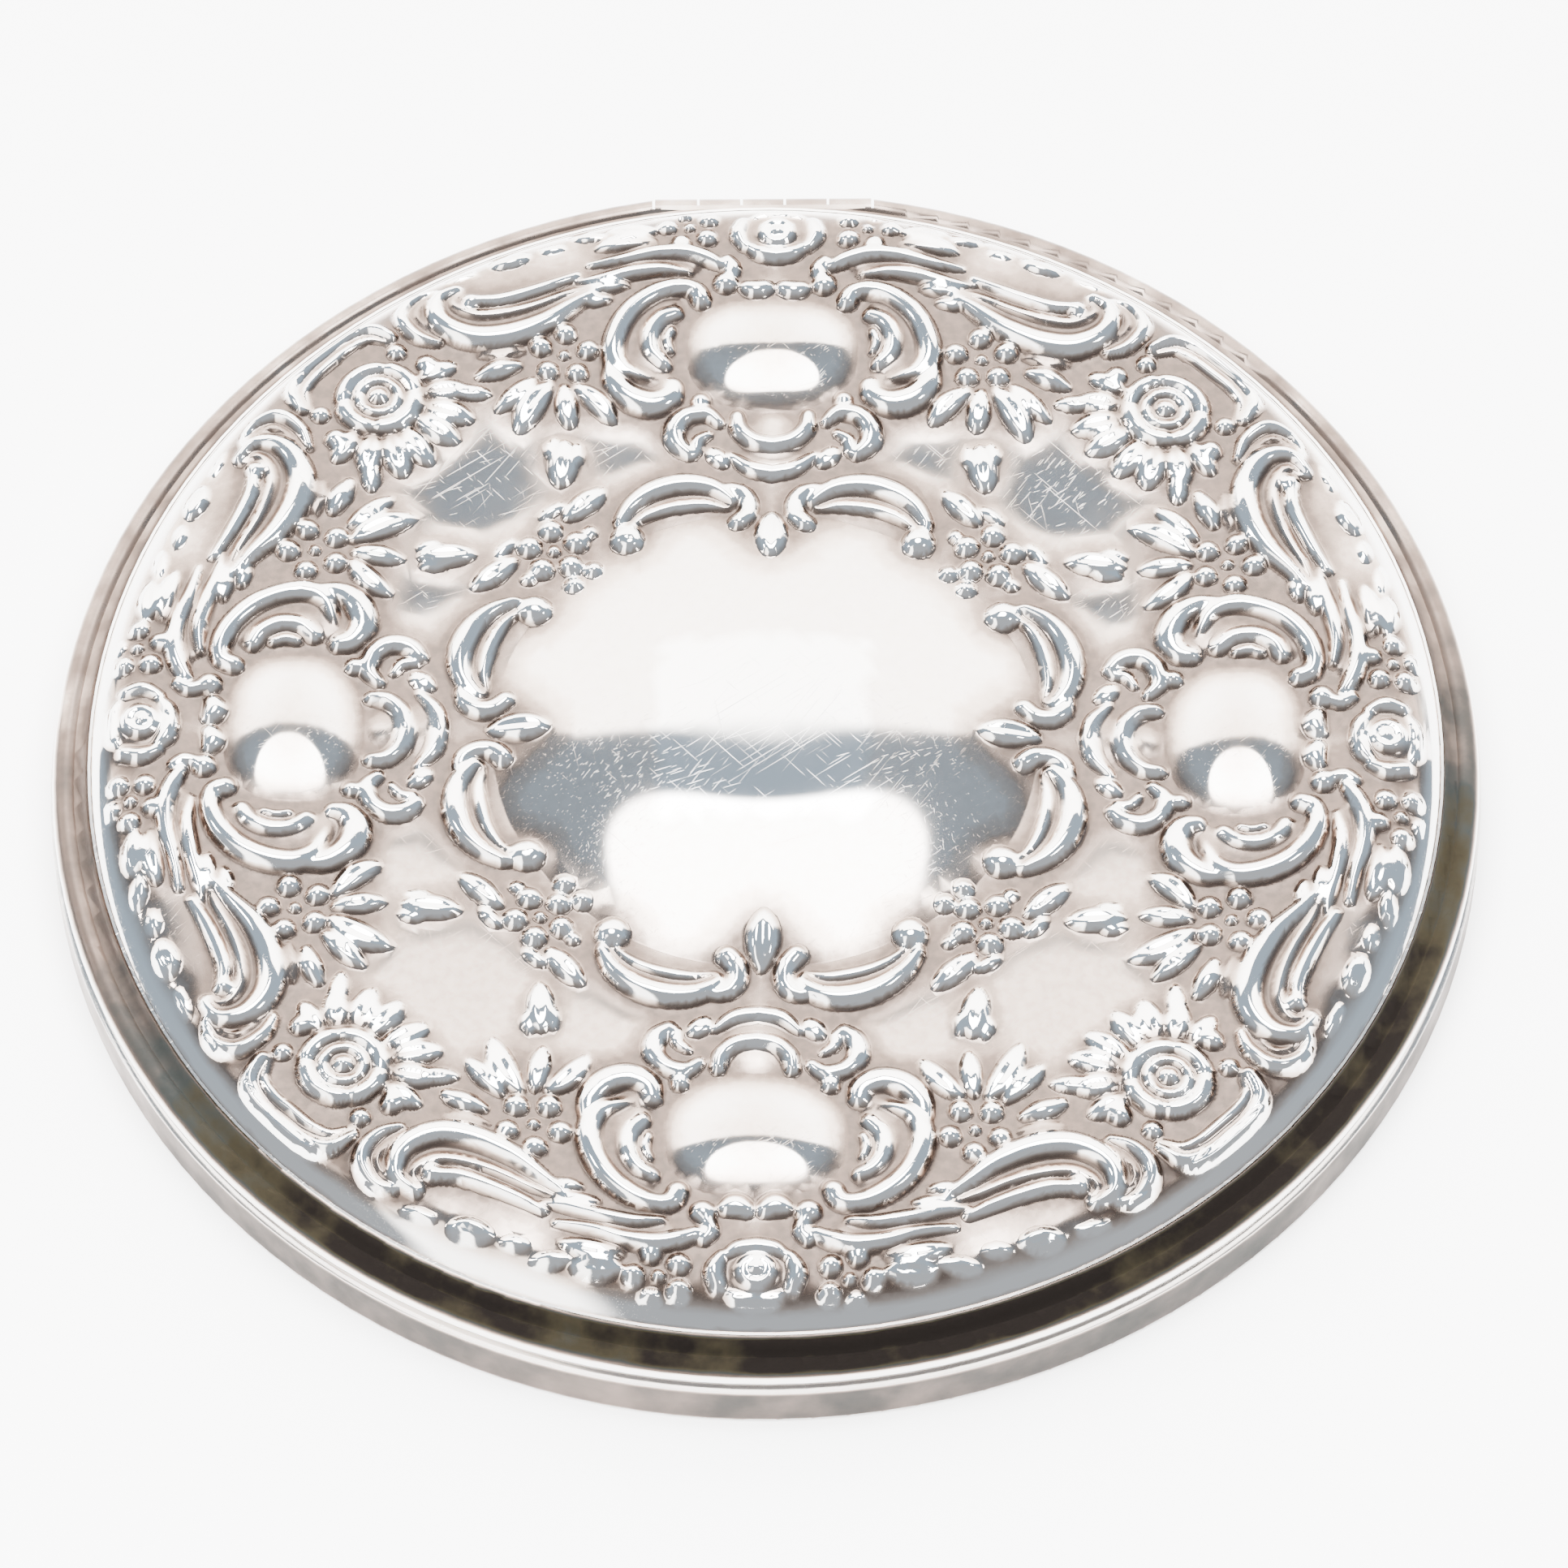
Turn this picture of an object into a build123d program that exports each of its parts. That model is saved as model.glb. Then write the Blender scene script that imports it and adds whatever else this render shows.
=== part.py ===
"""Round silver powder compact: a domed, embossed lid hinged at the back to a shallow pan.

Millimetres, +Z up. The origin is the centre of the flat underside. The hinge is at +Y, the catch at -Y.
The pan holds a gilt tray with a powder well, a sifter, a puff and a hinged powder door.
"""

import os
from math import radians, sin

from build123d import *

# --- driving sizes -------------------------------------------------------------------------------
base_radius = 54.0  # outside of the pan wall
pan_height = 4.1  # top of the ledge that the lid closes on
pan_floor = 0.7
sheet = 0.5  # silver sheet of the lid

seam_gap = 0.1  # between the pan's ledge and the closed lid
lid_bottom = pan_height + seam_gap
bead_radius = 1.05  # rolled bead round the lid's rim
bead_circle = 52.75

dome_radius = 50.8  # outside of the embossed dome where it drops into the rim
dome_foot = 7.3
dome_rise = 2.5
dome_fall = 0.0002  # how fast the top falls away from its centre, per mm
dome_power = 16  # how square the shoulder is
emboss = 1.0  # how far the ornament stands above the ground of the dome

collar_radius = 49.5
collar_top = 6.3
deck_top = 5.9
deck_sheet = 0.4
well_radius = 35.7  # inside of the powder well
well_top = 5.7

glass_radius = 46.0
glass_bottom = 7.1
glass_thick = 1.3
bezel_opening = 44.6

hinge_y = 53.0
hinge_z = 4.2
barrel_radius = 1.0
pin_radius = 0.48
running_gap = 0.04
knuckle_gap = 0.2
hinge_half = 8.5

door_radius = 38.5
door_sheet = 0.4
door_bottom = 6.0
door_hinge_y = 41.0
door_hinge_z = 6.45
door_barrel = 0.5
door_pin = 0.25

parts_folder = "parts"
os.makedirs(parts_folder, exist_ok=True)


def dome_height(r, radius=dome_radius, foot=dome_foot, rise=dome_rise):
    """Height of the dome's ground at r: a flat top that turns down in a square shoulder."""
    return foot + (rise - dome_fall * r * r) * (1 - (r / radius) ** dome_power) ** 0.5


def dome_section(radius, foot, rise, bottom):
    """Half section of a solid dome, from its axis out to its wall and down to `bottom`."""
    shares = [0.0, 0.35, 0.62, 0.8, 0.89, 0.945, 0.975, 0.992, 1.0]
    curve = [(radius * s, dome_height(radius * s, radius, foot, rise)) for s in shares]
    with BuildSketch(Plane.XZ) as section:
        with BuildLine():
            Spline(curve, tangents=[(1, 0), (0, -1)])
            Polyline(curve[-1], (radius, bottom), (0, bottom), curve[0])
        make_face()
    return section.sketch


def save(builder, name):
    builder.part.label = name
    export_step(builder.part, os.path.join(parts_folder, name + ".step"))


def turn():
    """Revolves the pending section about +Z."""
    revolve(axis=Axis.Z)


# --- pan -----------------------------------------------------------------------------------------
wall = 0.8
edge_round = 0.4
ledge_inner = 50.6
notch_half = hinge_half + 0.2
notch_front = hinge_y - barrel_radius - 0.25

with BuildPart() as base_pan:
    with BuildSketch(Plane.XZ) as section:
        with BuildLine():
            Polyline(
                (0, 0),
                (base_radius, 0),
                (base_radius, pan_height),
                (ledge_inner, pan_height),
                (ledge_inner, pan_height - 0.6),
                (base_radius - wall, pan_height - 0.6),
                (base_radius - wall, pan_floor),
                (0, pan_floor),
                close=True,
            )
        make_face()
        corners = section.vertices().group_by(Axis.X)[-1]
        fillet(corners.sort_by(Axis.Y)[0], edge_round)
        fillet(corners.sort_by(Axis.Y)[-1], edge_round + 0.15)
    turn()
    # notch for the hinge barrel
    with Locations((0, notch_front + 2, hinge_z + 0.7)):
        Box(2 * notch_half, 4, 4, mode=Mode.SUBTRACT)
save(base_pan, "base_pan")

# --- main hinge ----------------------------------------------------------------------------------
base_knuckles = [(-hinge_half, -5.2), (-1.6, 1.6), (5.2, hinge_half)]
lid_knuckles = [(-5.2 + knuckle_gap, -1.6 - knuckle_gap), (1.6 + knuckle_gap, 5.2 - knuckle_gap)]


def barrel(x0, x1, y, z, radius, mode=Mode.ADD):
    """A round bar along X from x0 to x1."""
    with BuildSketch(Plane.YZ.offset(x0)) as end:
        with Locations((y, z)):
            Circle(radius)
    extrude(end.sketch, amount=x1 - x0, mode=mode)


with BuildPart() as hinge_leaf_base:
    with Locations((0, 51.6, pan_floor + 0.2)):
        Box(2 * hinge_half, 1.6, 0.4)
    with Locations((0, 52.15, pan_floor + 1.2)):
        Box(2 * hinge_half, 0.5, 2.4)
    for x0, x1 in base_knuckles:
        with Locations(((x0 + x1) / 2, 52.25, hinge_z - 0.65)):
            Box(x1 - x0, 0.7, 1.2)
        barrel(x0, x1, hinge_y, hinge_z, barrel_radius)
    barrel(-hinge_half, hinge_half, hinge_y, hinge_z, pin_radius + running_gap, Mode.SUBTRACT)
save(hinge_leaf_base, "hinge_leaf_base")

with BuildPart() as hinge_leaf_lid:
    with Locations((0, notch_front + 0.3, hinge_z + 1.42)):
        Box(2 * hinge_half - 1.0, 0.6, 0.6)
    for x0, x1 in lid_knuckles:
        with Locations(((x0 + x1) / 2, notch_front + 0.42, hinge_z + 0.92)):
            Box(x1 - x0, 0.84, 1.3)
        barrel(x0, x1, hinge_y, hinge_z, barrel_radius)
    barrel(-hinge_half, hinge_half, hinge_y, hinge_z, pin_radius + running_gap, Mode.SUBTRACT)
save(hinge_leaf_lid, "hinge_leaf_lid")

with BuildPart() as hinge_pin:
    barrel(-hinge_half, hinge_half, hinge_y, hinge_z, pin_radius)
    chamfer(hinge_pin.edges().filter_by(GeomType.CIRCLE), 0.12)
save(hinge_pin, "hinge_pin")

# --- lid -----------------------------------------------------------------------------------------
rim_inner = 49.9
rebate = 5.2
medallion_circle = 36.0
rose_circle = 46.4
diagonal_rose_circle = 42.3
frame_circle = 22.5


def boss(circle, angle, half_width, rise):
    """A low round boss standing on the dome: the cap of a sphere."""
    ball = (half_width**2 + rise**2) / (2 * rise)
    top = dome_height(circle) + rise
    with PolarLocations(circle, 1, start_angle=angle):
        with Locations((0, 0, top - ball)):
            Sphere(ball)


shell_radius = dome_radius - 0.02

with BuildPart() as ornament:
    for k in range(4):
        boss(medallion_circle, 90 * k, 5.2, 0.8)
        boss(rose_circle, 90 * k, 3.0, emboss)
        boss(diagonal_rose_circle, 45 + 90 * k, 3.2, emboss)
    # raised frame round the centre
    with Locations((0, 0, dome_height(frame_circle) - 0.3)):
        Torus(frame_circle, 1.3)
    # nothing stands out past the shoulder or below the rim
    limit = dome_section(shell_radius - 0.15, dome_foot + 0.1, dome_rise + emboss, rebate + 0.3)
    revolve(limit, axis=Axis.Z, mode=Mode.INTERSECT)

with BuildPart() as lid_shell:
    revolve(dome_section(shell_radius, dome_foot, dome_rise, rebate), axis=Axis.Z)
    add(ornament.part)
    # the inside follows the outside, one sheet lower
    inner_radius = shell_radius - sheet
    revolve(dome_section(inner_radius, dome_foot, dome_rise - sheet, rebate), axis=Axis.Z, mode=Mode.SUBTRACT)
save(lid_shell, "lid_shell")

bead_end = 125  # where the bead runs into the cove, degrees from +X
bead_height = lid_bottom + bead_radius
bead_stop = Vector(bead_circle, bead_height) + Vector(bead_radius, 0).rotate(Axis.Z, bead_end)
ridge = Vector(51.0, 7.35)

with BuildPart() as lid_rim:
    with BuildSketch(Plane.XZ):
        with BuildLine():
            Polyline((bead_circle, lid_bottom), (rim_inner, lid_bottom), (rim_inner, rebate))
            Polyline((rim_inner, rebate), (dome_radius, rebate), (dome_radius, ridge.Y), (ridge.X, ridge.Y))
            ThreePointArc((ridge.X, ridge.Y), (51.45, 6.5), (bead_stop.X, bead_stop.Y))
            ThreePointArc(
                (bead_stop.X, bead_stop.Y),
                (bead_circle + bead_radius, bead_height),
                (bead_circle, lid_bottom),
            )
        make_face()
    turn()
    with Locations((0, notch_front + 2, hinge_z + 0.7)):
        Box(2 * notch_half, 4, 8, mode=Mode.SUBTRACT)
save(lid_rim, "lid_rim")

bezel_thick = 0.4
bezel_plate = glass_bottom - bezel_thick
bezel_outer = 50.0
bezel_wall = 0.45

with BuildPart() as mirror_bezel:
    with BuildSketch(Plane.XZ):
        with BuildLine():
            Polyline(
                (bezel_opening, bezel_plate),
                (bezel_outer, bezel_plate),
                (bezel_outer, glass_bottom),
                (glass_radius + 0.1 + bezel_wall, glass_bottom),
                (glass_radius + 0.1 + bezel_wall, glass_bottom + glass_thick),
                (glass_radius + 0.1, glass_bottom + glass_thick),
                (glass_radius + 0.1, glass_bottom),
                (bezel_opening, glass_bottom),
                close=True,
            )
        make_face()
    turn()
save(mirror_bezel, "mirror_bezel")

with BuildPart() as mirror_glass:
    with BuildSketch(Plane.XY.offset(glass_bottom)):
        Circle(glass_radius)
    extrude(amount=glass_thick)
    chamfer(mirror_glass.edges().group_by(Axis.Z)[0], 0.3)
save(mirror_glass, "mirror_glass")

card_thick = 0.3
card_margin = 1.0
with BuildPart() as mirror_card:
    with BuildSketch(Plane.XY.offset(glass_bottom + glass_thick)):
        Circle(glass_radius - card_margin)
    extrude(amount=card_thick)
save(mirror_card, "mirror_card")

lug_low, lug_high = 4.4, 5.0
lug_turn = 7.0  # degrees of the rim that the lug takes


def ring_piece(r0, r1, z0, z1, degrees):
    """A piece of a flat ring, centred on -Y and `degrees` long."""
    with BuildSketch(Plane.XZ) as cut:
        with Locations(((r0 + r1) / 2, (z0 + z1) / 2)):
            Rectangle(r1 - r0, z1 - z0)
    revolve(cut.sketch, axis=Axis.Z, revolution_arc=degrees)


def turned_to_front(shape, degrees):
    """A ring piece starts at +X and is turned so that its middle is at -Y."""
    return shape.rotate(Axis.Z, -90 - degrees / 2)


with BuildPart() as lug_build:
    ring_piece(collar_radius + 0.1, rim_inner, lug_low, lug_high, lug_turn)
with BuildPart() as catch_lug:
    add(turned_to_front(lug_build.part, lug_turn))
save(catch_lug, "catch_lug")

# --- tray in the pan -----------------------------------------------------------------------------
collar_sheet = 0.5
aperture_radius = well_radius + 0.6
window_half = 3.5
spring_outer = collar_radius - collar_sheet
spring_sheet = 0.3
spring_turn = 34.0
rivet_turn = 12.0
rivet_radius = 0.45
rivet_height = 4.8


def rivet_bars(mode=Mode.ADD, start=spring_outer - spring_sheet, length=0.8):
    """The two rivets as short radial bars, either side of the catch."""
    for side in (-1, 1):
        angle = -90 + side * rivet_turn
        away = Vector(1, 0, 0).rotate(Axis.Z, angle)
        centre = away * start + Vector(0, 0, rivet_height)
        with BuildSketch(Plane(origin=centre, z_dir=away)) as end:
            Circle(rivet_radius)
        extrude(end.sketch, amount=length, mode=mode)


with BuildPart() as tray_deck:
    with BuildSketch(Plane.XZ):
        with BuildLine():
            Polyline(
                (collar_radius - collar_sheet, pan_floor),
                (collar_radius, pan_floor),
                (collar_radius, collar_top),
                (collar_radius - collar_sheet, collar_top),
                (collar_radius - collar_sheet, deck_top),
                (aperture_radius, deck_top),
                (aperture_radius, deck_top - 1.2),
                (aperture_radius + deck_sheet, deck_top - 1.2),
                (aperture_radius + deck_sheet, deck_top - deck_sheet),
                (collar_radius - collar_sheet, deck_top - deck_sheet),
                close=True,
            )
        make_face()
    turn()
    # window that the catch spring's nib looks through
    with Locations((0, -collar_radius, 5.15)):
        Box(2 * window_half, 3, 0.6, mode=Mode.SUBTRACT)
    rivet_bars(Mode.SUBTRACT)
save(tray_deck, "tray_deck")

with BuildPart() as spring_build:
    ring_piece(spring_outer - spring_sheet, spring_outer, 4.3, 5.4, spring_turn)
with BuildPart() as nib_build:
    ring_piece(spring_outer, collar_radius - 0.02, 5.03, 5.38, 6.0)
with BuildPart() as catch_spring:
    add(turned_to_front(spring_build.part, spring_turn))
    add(turned_to_front(nib_build.part, 6.0))
    rivet_bars(Mode.SUBTRACT)
save(catch_spring, "catch_spring")

with BuildPart() as catch_rivets:
    rivet_bars()
    for side in (-1, 1):
        away = Vector(1, 0, 0).rotate(Axis.Z, -90 + side * rivet_turn)
        head = away * (spring_outer - spring_sheet - 0.35) + Vector(0, 0, rivet_height)
        with BuildSketch(Plane(origin=head, z_dir=away)):
            Circle(rivet_radius + 0.15)
        extrude(amount=0.33)
        with BuildSketch(Plane(origin=head, z_dir=away)):
            Circle(rivet_radius)
        extrude(amount=0.36)
save(catch_rivets, "catch_rivets")

with BuildPart() as powder_well:
    with BuildSketch(Plane.XZ):
        with BuildLine():
            Polyline(
                (0, pan_floor),
                (well_radius + 0.5, pan_floor),
                (well_radius + 0.5, well_top),
                (well_radius, well_top),
                (well_radius, pan_floor + 0.4),
                (0, pan_floor + 0.4),
                close=True,
            )
        make_face()
    turn()
save(powder_well, "powder_well")

powder_top = 2.8
with BuildPart() as loose_powder:
    with BuildSketch(Plane.XY.offset(pan_floor + 0.4)):
        Circle(well_radius - 0.05)
    extrude(amount=powder_top - pan_floor - 0.4)
save(loose_powder, "loose_powder")

sifter_bottom = 3.0
sifter_top = 4.0
with BuildPart() as sifter_frame:
    with BuildSketch(Plane.XZ):
        with BuildLine():
            Polyline(
                (well_radius - 2.2, sifter_bottom),
                (well_radius - 0.1, sifter_bottom),
                (well_radius - 0.1, sifter_top),
                (well_radius - 0.5, sifter_top),
                (well_radius - 0.5, sifter_bottom + 0.35),
                (well_radius - 2.2, sifter_bottom + 0.35),
                close=True,
            )
        make_face()
    turn()
    # pull tab that lifts the sifter out
    with Locations((0, -(well_radius - 1.15), sifter_top + 0.35)):
        Box(5, 1.5, 0.3)
    with Locations((0, -(well_radius - 0.32), sifter_top + 0.2)):
        Box(5, 0.3, 0.6)
save(sifter_frame, "sifter_frame")

with BuildPart() as sifter_screen:
    with BuildSketch(Plane.XY.offset(sifter_bottom + 0.35)):
        Circle(well_radius - 0.6)
    extrude(amount=0.12)
save(sifter_screen, "sifter_screen")

puff_radius = 32.2
puff_bottom = 3.5
puff_thick = 2.05
with BuildPart() as powder_puff:
    with BuildSketch(Plane.XY.offset(puff_bottom)):
        Circle(puff_radius)
    extrude(amount=puff_thick)
    fillet(powder_puff.edges(), 0.8)
save(powder_puff, "powder_puff")

ribbon_sheet = 0.25
ribbon_width = 11.0
with BuildPart() as puff_ribbon:
    with Locations((0, 0, puff_bottom + puff_thick + ribbon_sheet / 2)):
        Box(2 * (puff_radius - 1.6), ribbon_width, ribbon_sheet)
save(puff_ribbon, "puff_ribbon")

# --- powder door ---------------------------------------------------------------------------------
door_knuckle = 3.0
ear_end = 6.2
tab_reach = 40.6

with BuildPart() as door_plate:
    with BuildSketch(Plane.XY.offset(door_bottom)):
        Circle(door_radius)
        with Locations((0, door_hinge_y - 1.6)):
            Rectangle(2 * door_knuckle - 0.4, 3.2)
    extrude(amount=door_sheet)
    # pressed ring that stiffens the door
    with Locations((0, 0, door_bottom + door_sheet - 0.12)):
        Torus(30.0, 0.35)
    with Locations((0, 0, door_bottom - 1)):
        Cylinder(door_radius, 1, align=(Align.CENTER, Align.CENTER, Align.MIN), mode=Mode.SUBTRACT)
    barrel(-door_knuckle, door_knuckle, door_hinge_y, door_hinge_z, door_barrel)
    barrel(-door_knuckle, door_knuckle, door_hinge_y, door_hinge_z, door_pin + running_gap, Mode.SUBTRACT)
save(door_plate, "door_plate")

with BuildPart() as door_tab:
    with BuildSketch(Plane.XY.offset(door_bottom + door_sheet)):
        with Locations((0, -(tab_reach - 2.0))):
            RectangleRounded(7.0, 4.0, 1.2)
    extrude(amount=0.3)
save(door_tab, "door_tab")

with BuildPart() as door_ears:
    for side in (-1, 1):
        inner = side * (door_knuckle + knuckle_gap)
        outer = side * ear_end
        with Locations(((inner + outer) / 2, door_hinge_y, (deck_top + door_hinge_z) / 2)):
            Box(ear_end - door_knuckle - knuckle_gap, 2 * door_barrel, door_hinge_z - deck_top)
        barrel(min(inner, outer), max(inner, outer), door_hinge_y, door_hinge_z, door_barrel)
    barrel(-ear_end, ear_end, door_hinge_y, door_hinge_z, door_pin + running_gap, Mode.SUBTRACT)
save(door_ears, "door_ears")

with BuildPart() as door_pin_bar:
    barrel(-ear_end, ear_end, door_hinge_y, door_hinge_z, door_pin)
save(door_pin_bar, "door_pin")

with BuildPart() as door_catch:
    with Locations((0, -42.2, deck_top + 0.15)):
        Box(4.4, 2.6, 0.3)
    with Locations((0, -41.05, deck_top + 0.45)):
        Box(4.4, 0.3, 0.9)
save(door_catch, "door_catch")
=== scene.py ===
import math
import bpy
import numpy as np
from mathutils import Matrix, Vector


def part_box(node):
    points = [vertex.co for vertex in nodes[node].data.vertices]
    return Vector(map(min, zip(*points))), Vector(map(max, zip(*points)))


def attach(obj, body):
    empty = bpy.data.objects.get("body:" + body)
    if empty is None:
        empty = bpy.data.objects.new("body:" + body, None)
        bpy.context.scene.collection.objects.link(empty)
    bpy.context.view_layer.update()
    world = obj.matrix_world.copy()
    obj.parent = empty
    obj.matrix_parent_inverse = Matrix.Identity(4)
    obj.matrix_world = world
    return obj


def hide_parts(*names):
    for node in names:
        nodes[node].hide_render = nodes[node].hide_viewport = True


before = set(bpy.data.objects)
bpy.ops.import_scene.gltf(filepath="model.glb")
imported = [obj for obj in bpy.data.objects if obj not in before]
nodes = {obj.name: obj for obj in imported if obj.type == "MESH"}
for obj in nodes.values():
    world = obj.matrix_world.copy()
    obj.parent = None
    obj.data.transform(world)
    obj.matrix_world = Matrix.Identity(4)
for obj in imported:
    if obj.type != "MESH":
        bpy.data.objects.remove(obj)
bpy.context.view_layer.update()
mm = 0.001
print("frame loaded")

# camera, light and floor
cameraSet = {"elevation": 56.38, "distance": 704.3, "lens": 212.7, "aim": (1.37, 1.68), "roll": 0.34}

elevation = math.radians(cameraSet["elevation"])
aimX, aimY = cameraSet["aim"]
cameraData = bpy.data.cameras.new("productCamera")
cameraData.lens = cameraSet["lens"]
cameraData.sensor_width = 36.0
cameraData.clip_start = 0.01
camera = bpy.data.objects.new("productCamera", cameraData)
bpy.context.scene.collection.objects.link(camera)
turned = Matrix.Rotation(math.pi / 2 - elevation, 4, "X") @ Matrix.Rotation(-math.radians(cameraSet["roll"]), 4, "Z")
stand = Vector((aimX, aimY - cameraSet["distance"] * math.cos(elevation), cameraSet["distance"] * math.sin(elevation)))
camera.matrix_world = Matrix.Translation(stand * mm) @ turned
bpy.context.scene.camera = camera


def newTree(tree):
    # an empty node tree with two helpers: add makes a node and sets its values, join links two sockets
    tree.nodes.clear()

    def add(kind, **values):
        node = tree.nodes.new(kind)
        for name, value in values.items():
            setattr(node, name, value)
        return node

    def join(a, b):
        tree.links.new(a, b)

    return add, join


def maths(tree, operation, *inputs, clamp=False):
    # a Math node: numbers are set on its sockets and sockets are linked. Gives its output
    node = tree.nodes.new("ShaderNodeMath")
    node.operation = operation
    node.use_clamp = clamp
    for socket, value in zip(node.inputs, inputs):
        if isinstance(value, (int, float)):
            socket.default_value = value
        else:
            tree.links.new(value, socket)
    return node.outputs[0]


def smoothStep(tree, value, low, high, start=0.0, end=1.0):
    # map Range with smooth ends: start below low and end above high
    node = tree.nodes.new("ShaderNodeMapRange")
    node.interpolation_type = "SMOOTHSTEP"
    tree.links.new(value, node.inputs["Value"])
    for name, number in (("From Min", low), ("From Max", high), ("To Min", start), ("To Max", end)):
        node.inputs[name].default_value = number
    return node.outputs["Result"]


def mixColour(tree, factor, a, b):
    # a Mix node between two colours, each a socket or an RGB triple
    node = tree.nodes.new("ShaderNodeMix")
    node.data_type = "RGBA"
    for socket, value in ((node.inputs[0], factor), (node.inputs[6], a), (node.inputs[7], b)):
        if isinstance(value, (int, float)):
            socket.default_value = value
        elif isinstance(value, tuple):
            socket.default_value = (*value, 1.0)
        else:
            tree.links.new(value, socket)
    return node.outputs[2]


# the studio: a cream light tent, a slate-blue gap high at the back with one round lamp in it, and a dark front
tentSet = {
    "cream": (1.0, 0.965, 0.93),
    "slate": (0.044, 0.055, 0.067),
    "front": (0.05, 0.053, 0.057),
    "lamp": (1.7, 1.7, 1.7),
    "lampHeight": 73.0,
    "lampWide": 0.24,
    "lampTall": 0.225,
    "edge": -0.297,
    "card": (0.6, 0.585, 0.57),
    "level": 11.0,
}


def noiseOn(add, join, vector, scale, detail=2.0):
    # a noise texture read at a vector
    node = add("ShaderNodeTexNoise")
    node.inputs["Scale"].default_value = scale
    node.inputs["Detail"].default_value = detail
    join(vector, node.inputs["Vector"])
    return node


def makeTent():
    world = bpy.data.worlds.new("lightTent")
    bpy.context.scene.world = world
    world.use_nodes = True
    tree = world.node_tree
    add, join = newTree(tree)
    place = add("ShaderNodeTexCoord")
    split = add("ShaderNodeSeparateXYZ")
    join(place.outputs["Generated"], split.inputs[0])
    x, y, z = split.outputs
    high = math.radians(tentSet["lampHeight"])
    # b climbs from the lamp's centre towards the zenith, c is how squarely a direction faces the lamp
    b = maths(tree, "SUBTRACT", maths(tree, "MULTIPLY", z, math.cos(high)), maths(tree, "MULTIPLY", y, math.sin(high)))
    c = maths(tree, "ADD", maths(tree, "MULTIPLY", y, math.cos(high)), maths(tree, "MULTIPLY", z, math.sin(high)))
    across = maths(tree, "ABSOLUTE", x)
    # the white backdrop stands at the back only, and stops at a straight top edge
    belowEdge = smoothStep(tree, b, tentSet["edge"], tentSet["edge"] + 0.014, 1.0, 0.0)
    drop = maths(tree, "MULTIPLY", smoothStep(tree, y, 0.12, 0.4), belowEdge)
    drop = maths(tree, "MULTIPLY", drop, smoothStep(tree, across, 0.74, 0.84, 1.0, 0.0))
    spot = maths(
        tree,
        "ADD",
        maths(tree, "POWER", maths(tree, "DIVIDE", across, tentSet["lampWide"]), 2.2),
        maths(tree, "POWER", maths(tree, "DIVIDE", maths(tree, "ABSOLUTE", b), tentSet["lampTall"]), 2.2),
    )
    lamp = maths(tree, "MULTIPLY", smoothStep(tree, spot, 0.92, 1.08, 1.0, 0.0), smoothStep(tree, c, 0.3, 0.5))
    # the room is slate above and darker and browner towards the front
    room = mixColour(tree, smoothStep(tree, y, -0.45, 0.25), tentSet["front"], tentSet["slate"])
    wall = mixColour(tree, smoothStep(tree, z, 0.0, 0.8), (0.8, 0.76, 0.72), tentSet["cream"])
    wall = mixColour(tree, drop, room, wall)
    # a white card stands to the left of the front
    card = maths(tree, "MULTIPLY", smoothStep(tree, x, -0.74, -0.66), smoothStep(tree, x, -0.42, -0.3, 1.0, 0.0))
    card = maths(tree, "MULTIPLY", card, smoothStep(tree, y, -0.1, 0.0, 1.0, 0.0))
    wall = mixColour(tree, card, wall, tentSet["card"])
    wall = mixColour(tree, lamp, wall, tentSet["lamp"])
    # below the horizon lies the pale table
    wall = mixColour(tree, smoothStep(tree, z, -0.06, 0.0, 1.0, 0.0), wall, (0.4, 0.39, 0.38))
    background = add("ShaderNodeBackground")
    join(wall, background.inputs["Color"])
    background.inputs["Strength"].default_value = tentSet["level"]
    output = add("ShaderNodeOutputWorld")
    join(background.outputs[0], output.inputs[0])


makeTent()


def areaLight(name, size, power, place, colour):
    # a soft square lamp that looks at the object's middle
    data = bpy.data.lights.new(name, "AREA")
    data.size = size
    data.energy = power
    data.color = colour
    lamp = bpy.data.objects.new(name, data)
    bpy.context.scene.collection.objects.link(lamp)
    lamp.location = place
    lamp.rotation_euler = (-Vector(place)).to_track_quat("-Z", "Y").to_euler()
    return lamp


floorLight = areaLight("floorLight", 1.2, 130.0, (0.0, -0.3, 1.2), (1.0, 1.0, 1.0))
floorLight.visible_glossy = False
areaLight("sideStrip", 0.16, 2.2, (-0.75, 0.1, 0.55), (1.0, 0.99, 0.97))
areaLight("backStrip", 0.16, 1.6, (0.55, -0.15, 0.62), (0.97, 0.99, 1.0))

bpy.ops.mesh.primitive_plane_add(size=6.0)
floor = bpy.context.object
floor.name = "paleFloor"
floor.location = (0, 0, -0.00005)
floorPaint = bpy.data.materials.new("paleFloor")
floorPaint.use_nodes = True
floorShader = floorPaint.node_tree.nodes["Principled BSDF"]
floorShader.inputs["Base Color"].default_value = (0.93, 0.93, 0.93, 1)
floorShader.inputs["Roughness"].default_value = 0.6
floor.data.materials.append(floorPaint)
print("camera, tent and floor")

# node groups shared by the finishes


def newGroup(name, inputs, outputs):
    # a shader node group with named sockets. inputs is {name: (kind, default)}, outputs {name: kind}
    tree = bpy.data.node_groups.new(name, "ShaderNodeTree")
    for label, (kind, value) in inputs.items():
        socket = tree.interface.new_socket(label, in_out="INPUT", socket_type=kind)
        if value is not None:
            socket.default_value = value
    for label, kind in outputs.items():
        tree.interface.new_socket(label, in_out="OUTPUT", socket_type=kind)
    add, join = newTree(tree)
    return tree, add("NodeGroupInput"), add("NodeGroupOutput"), add, join


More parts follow.
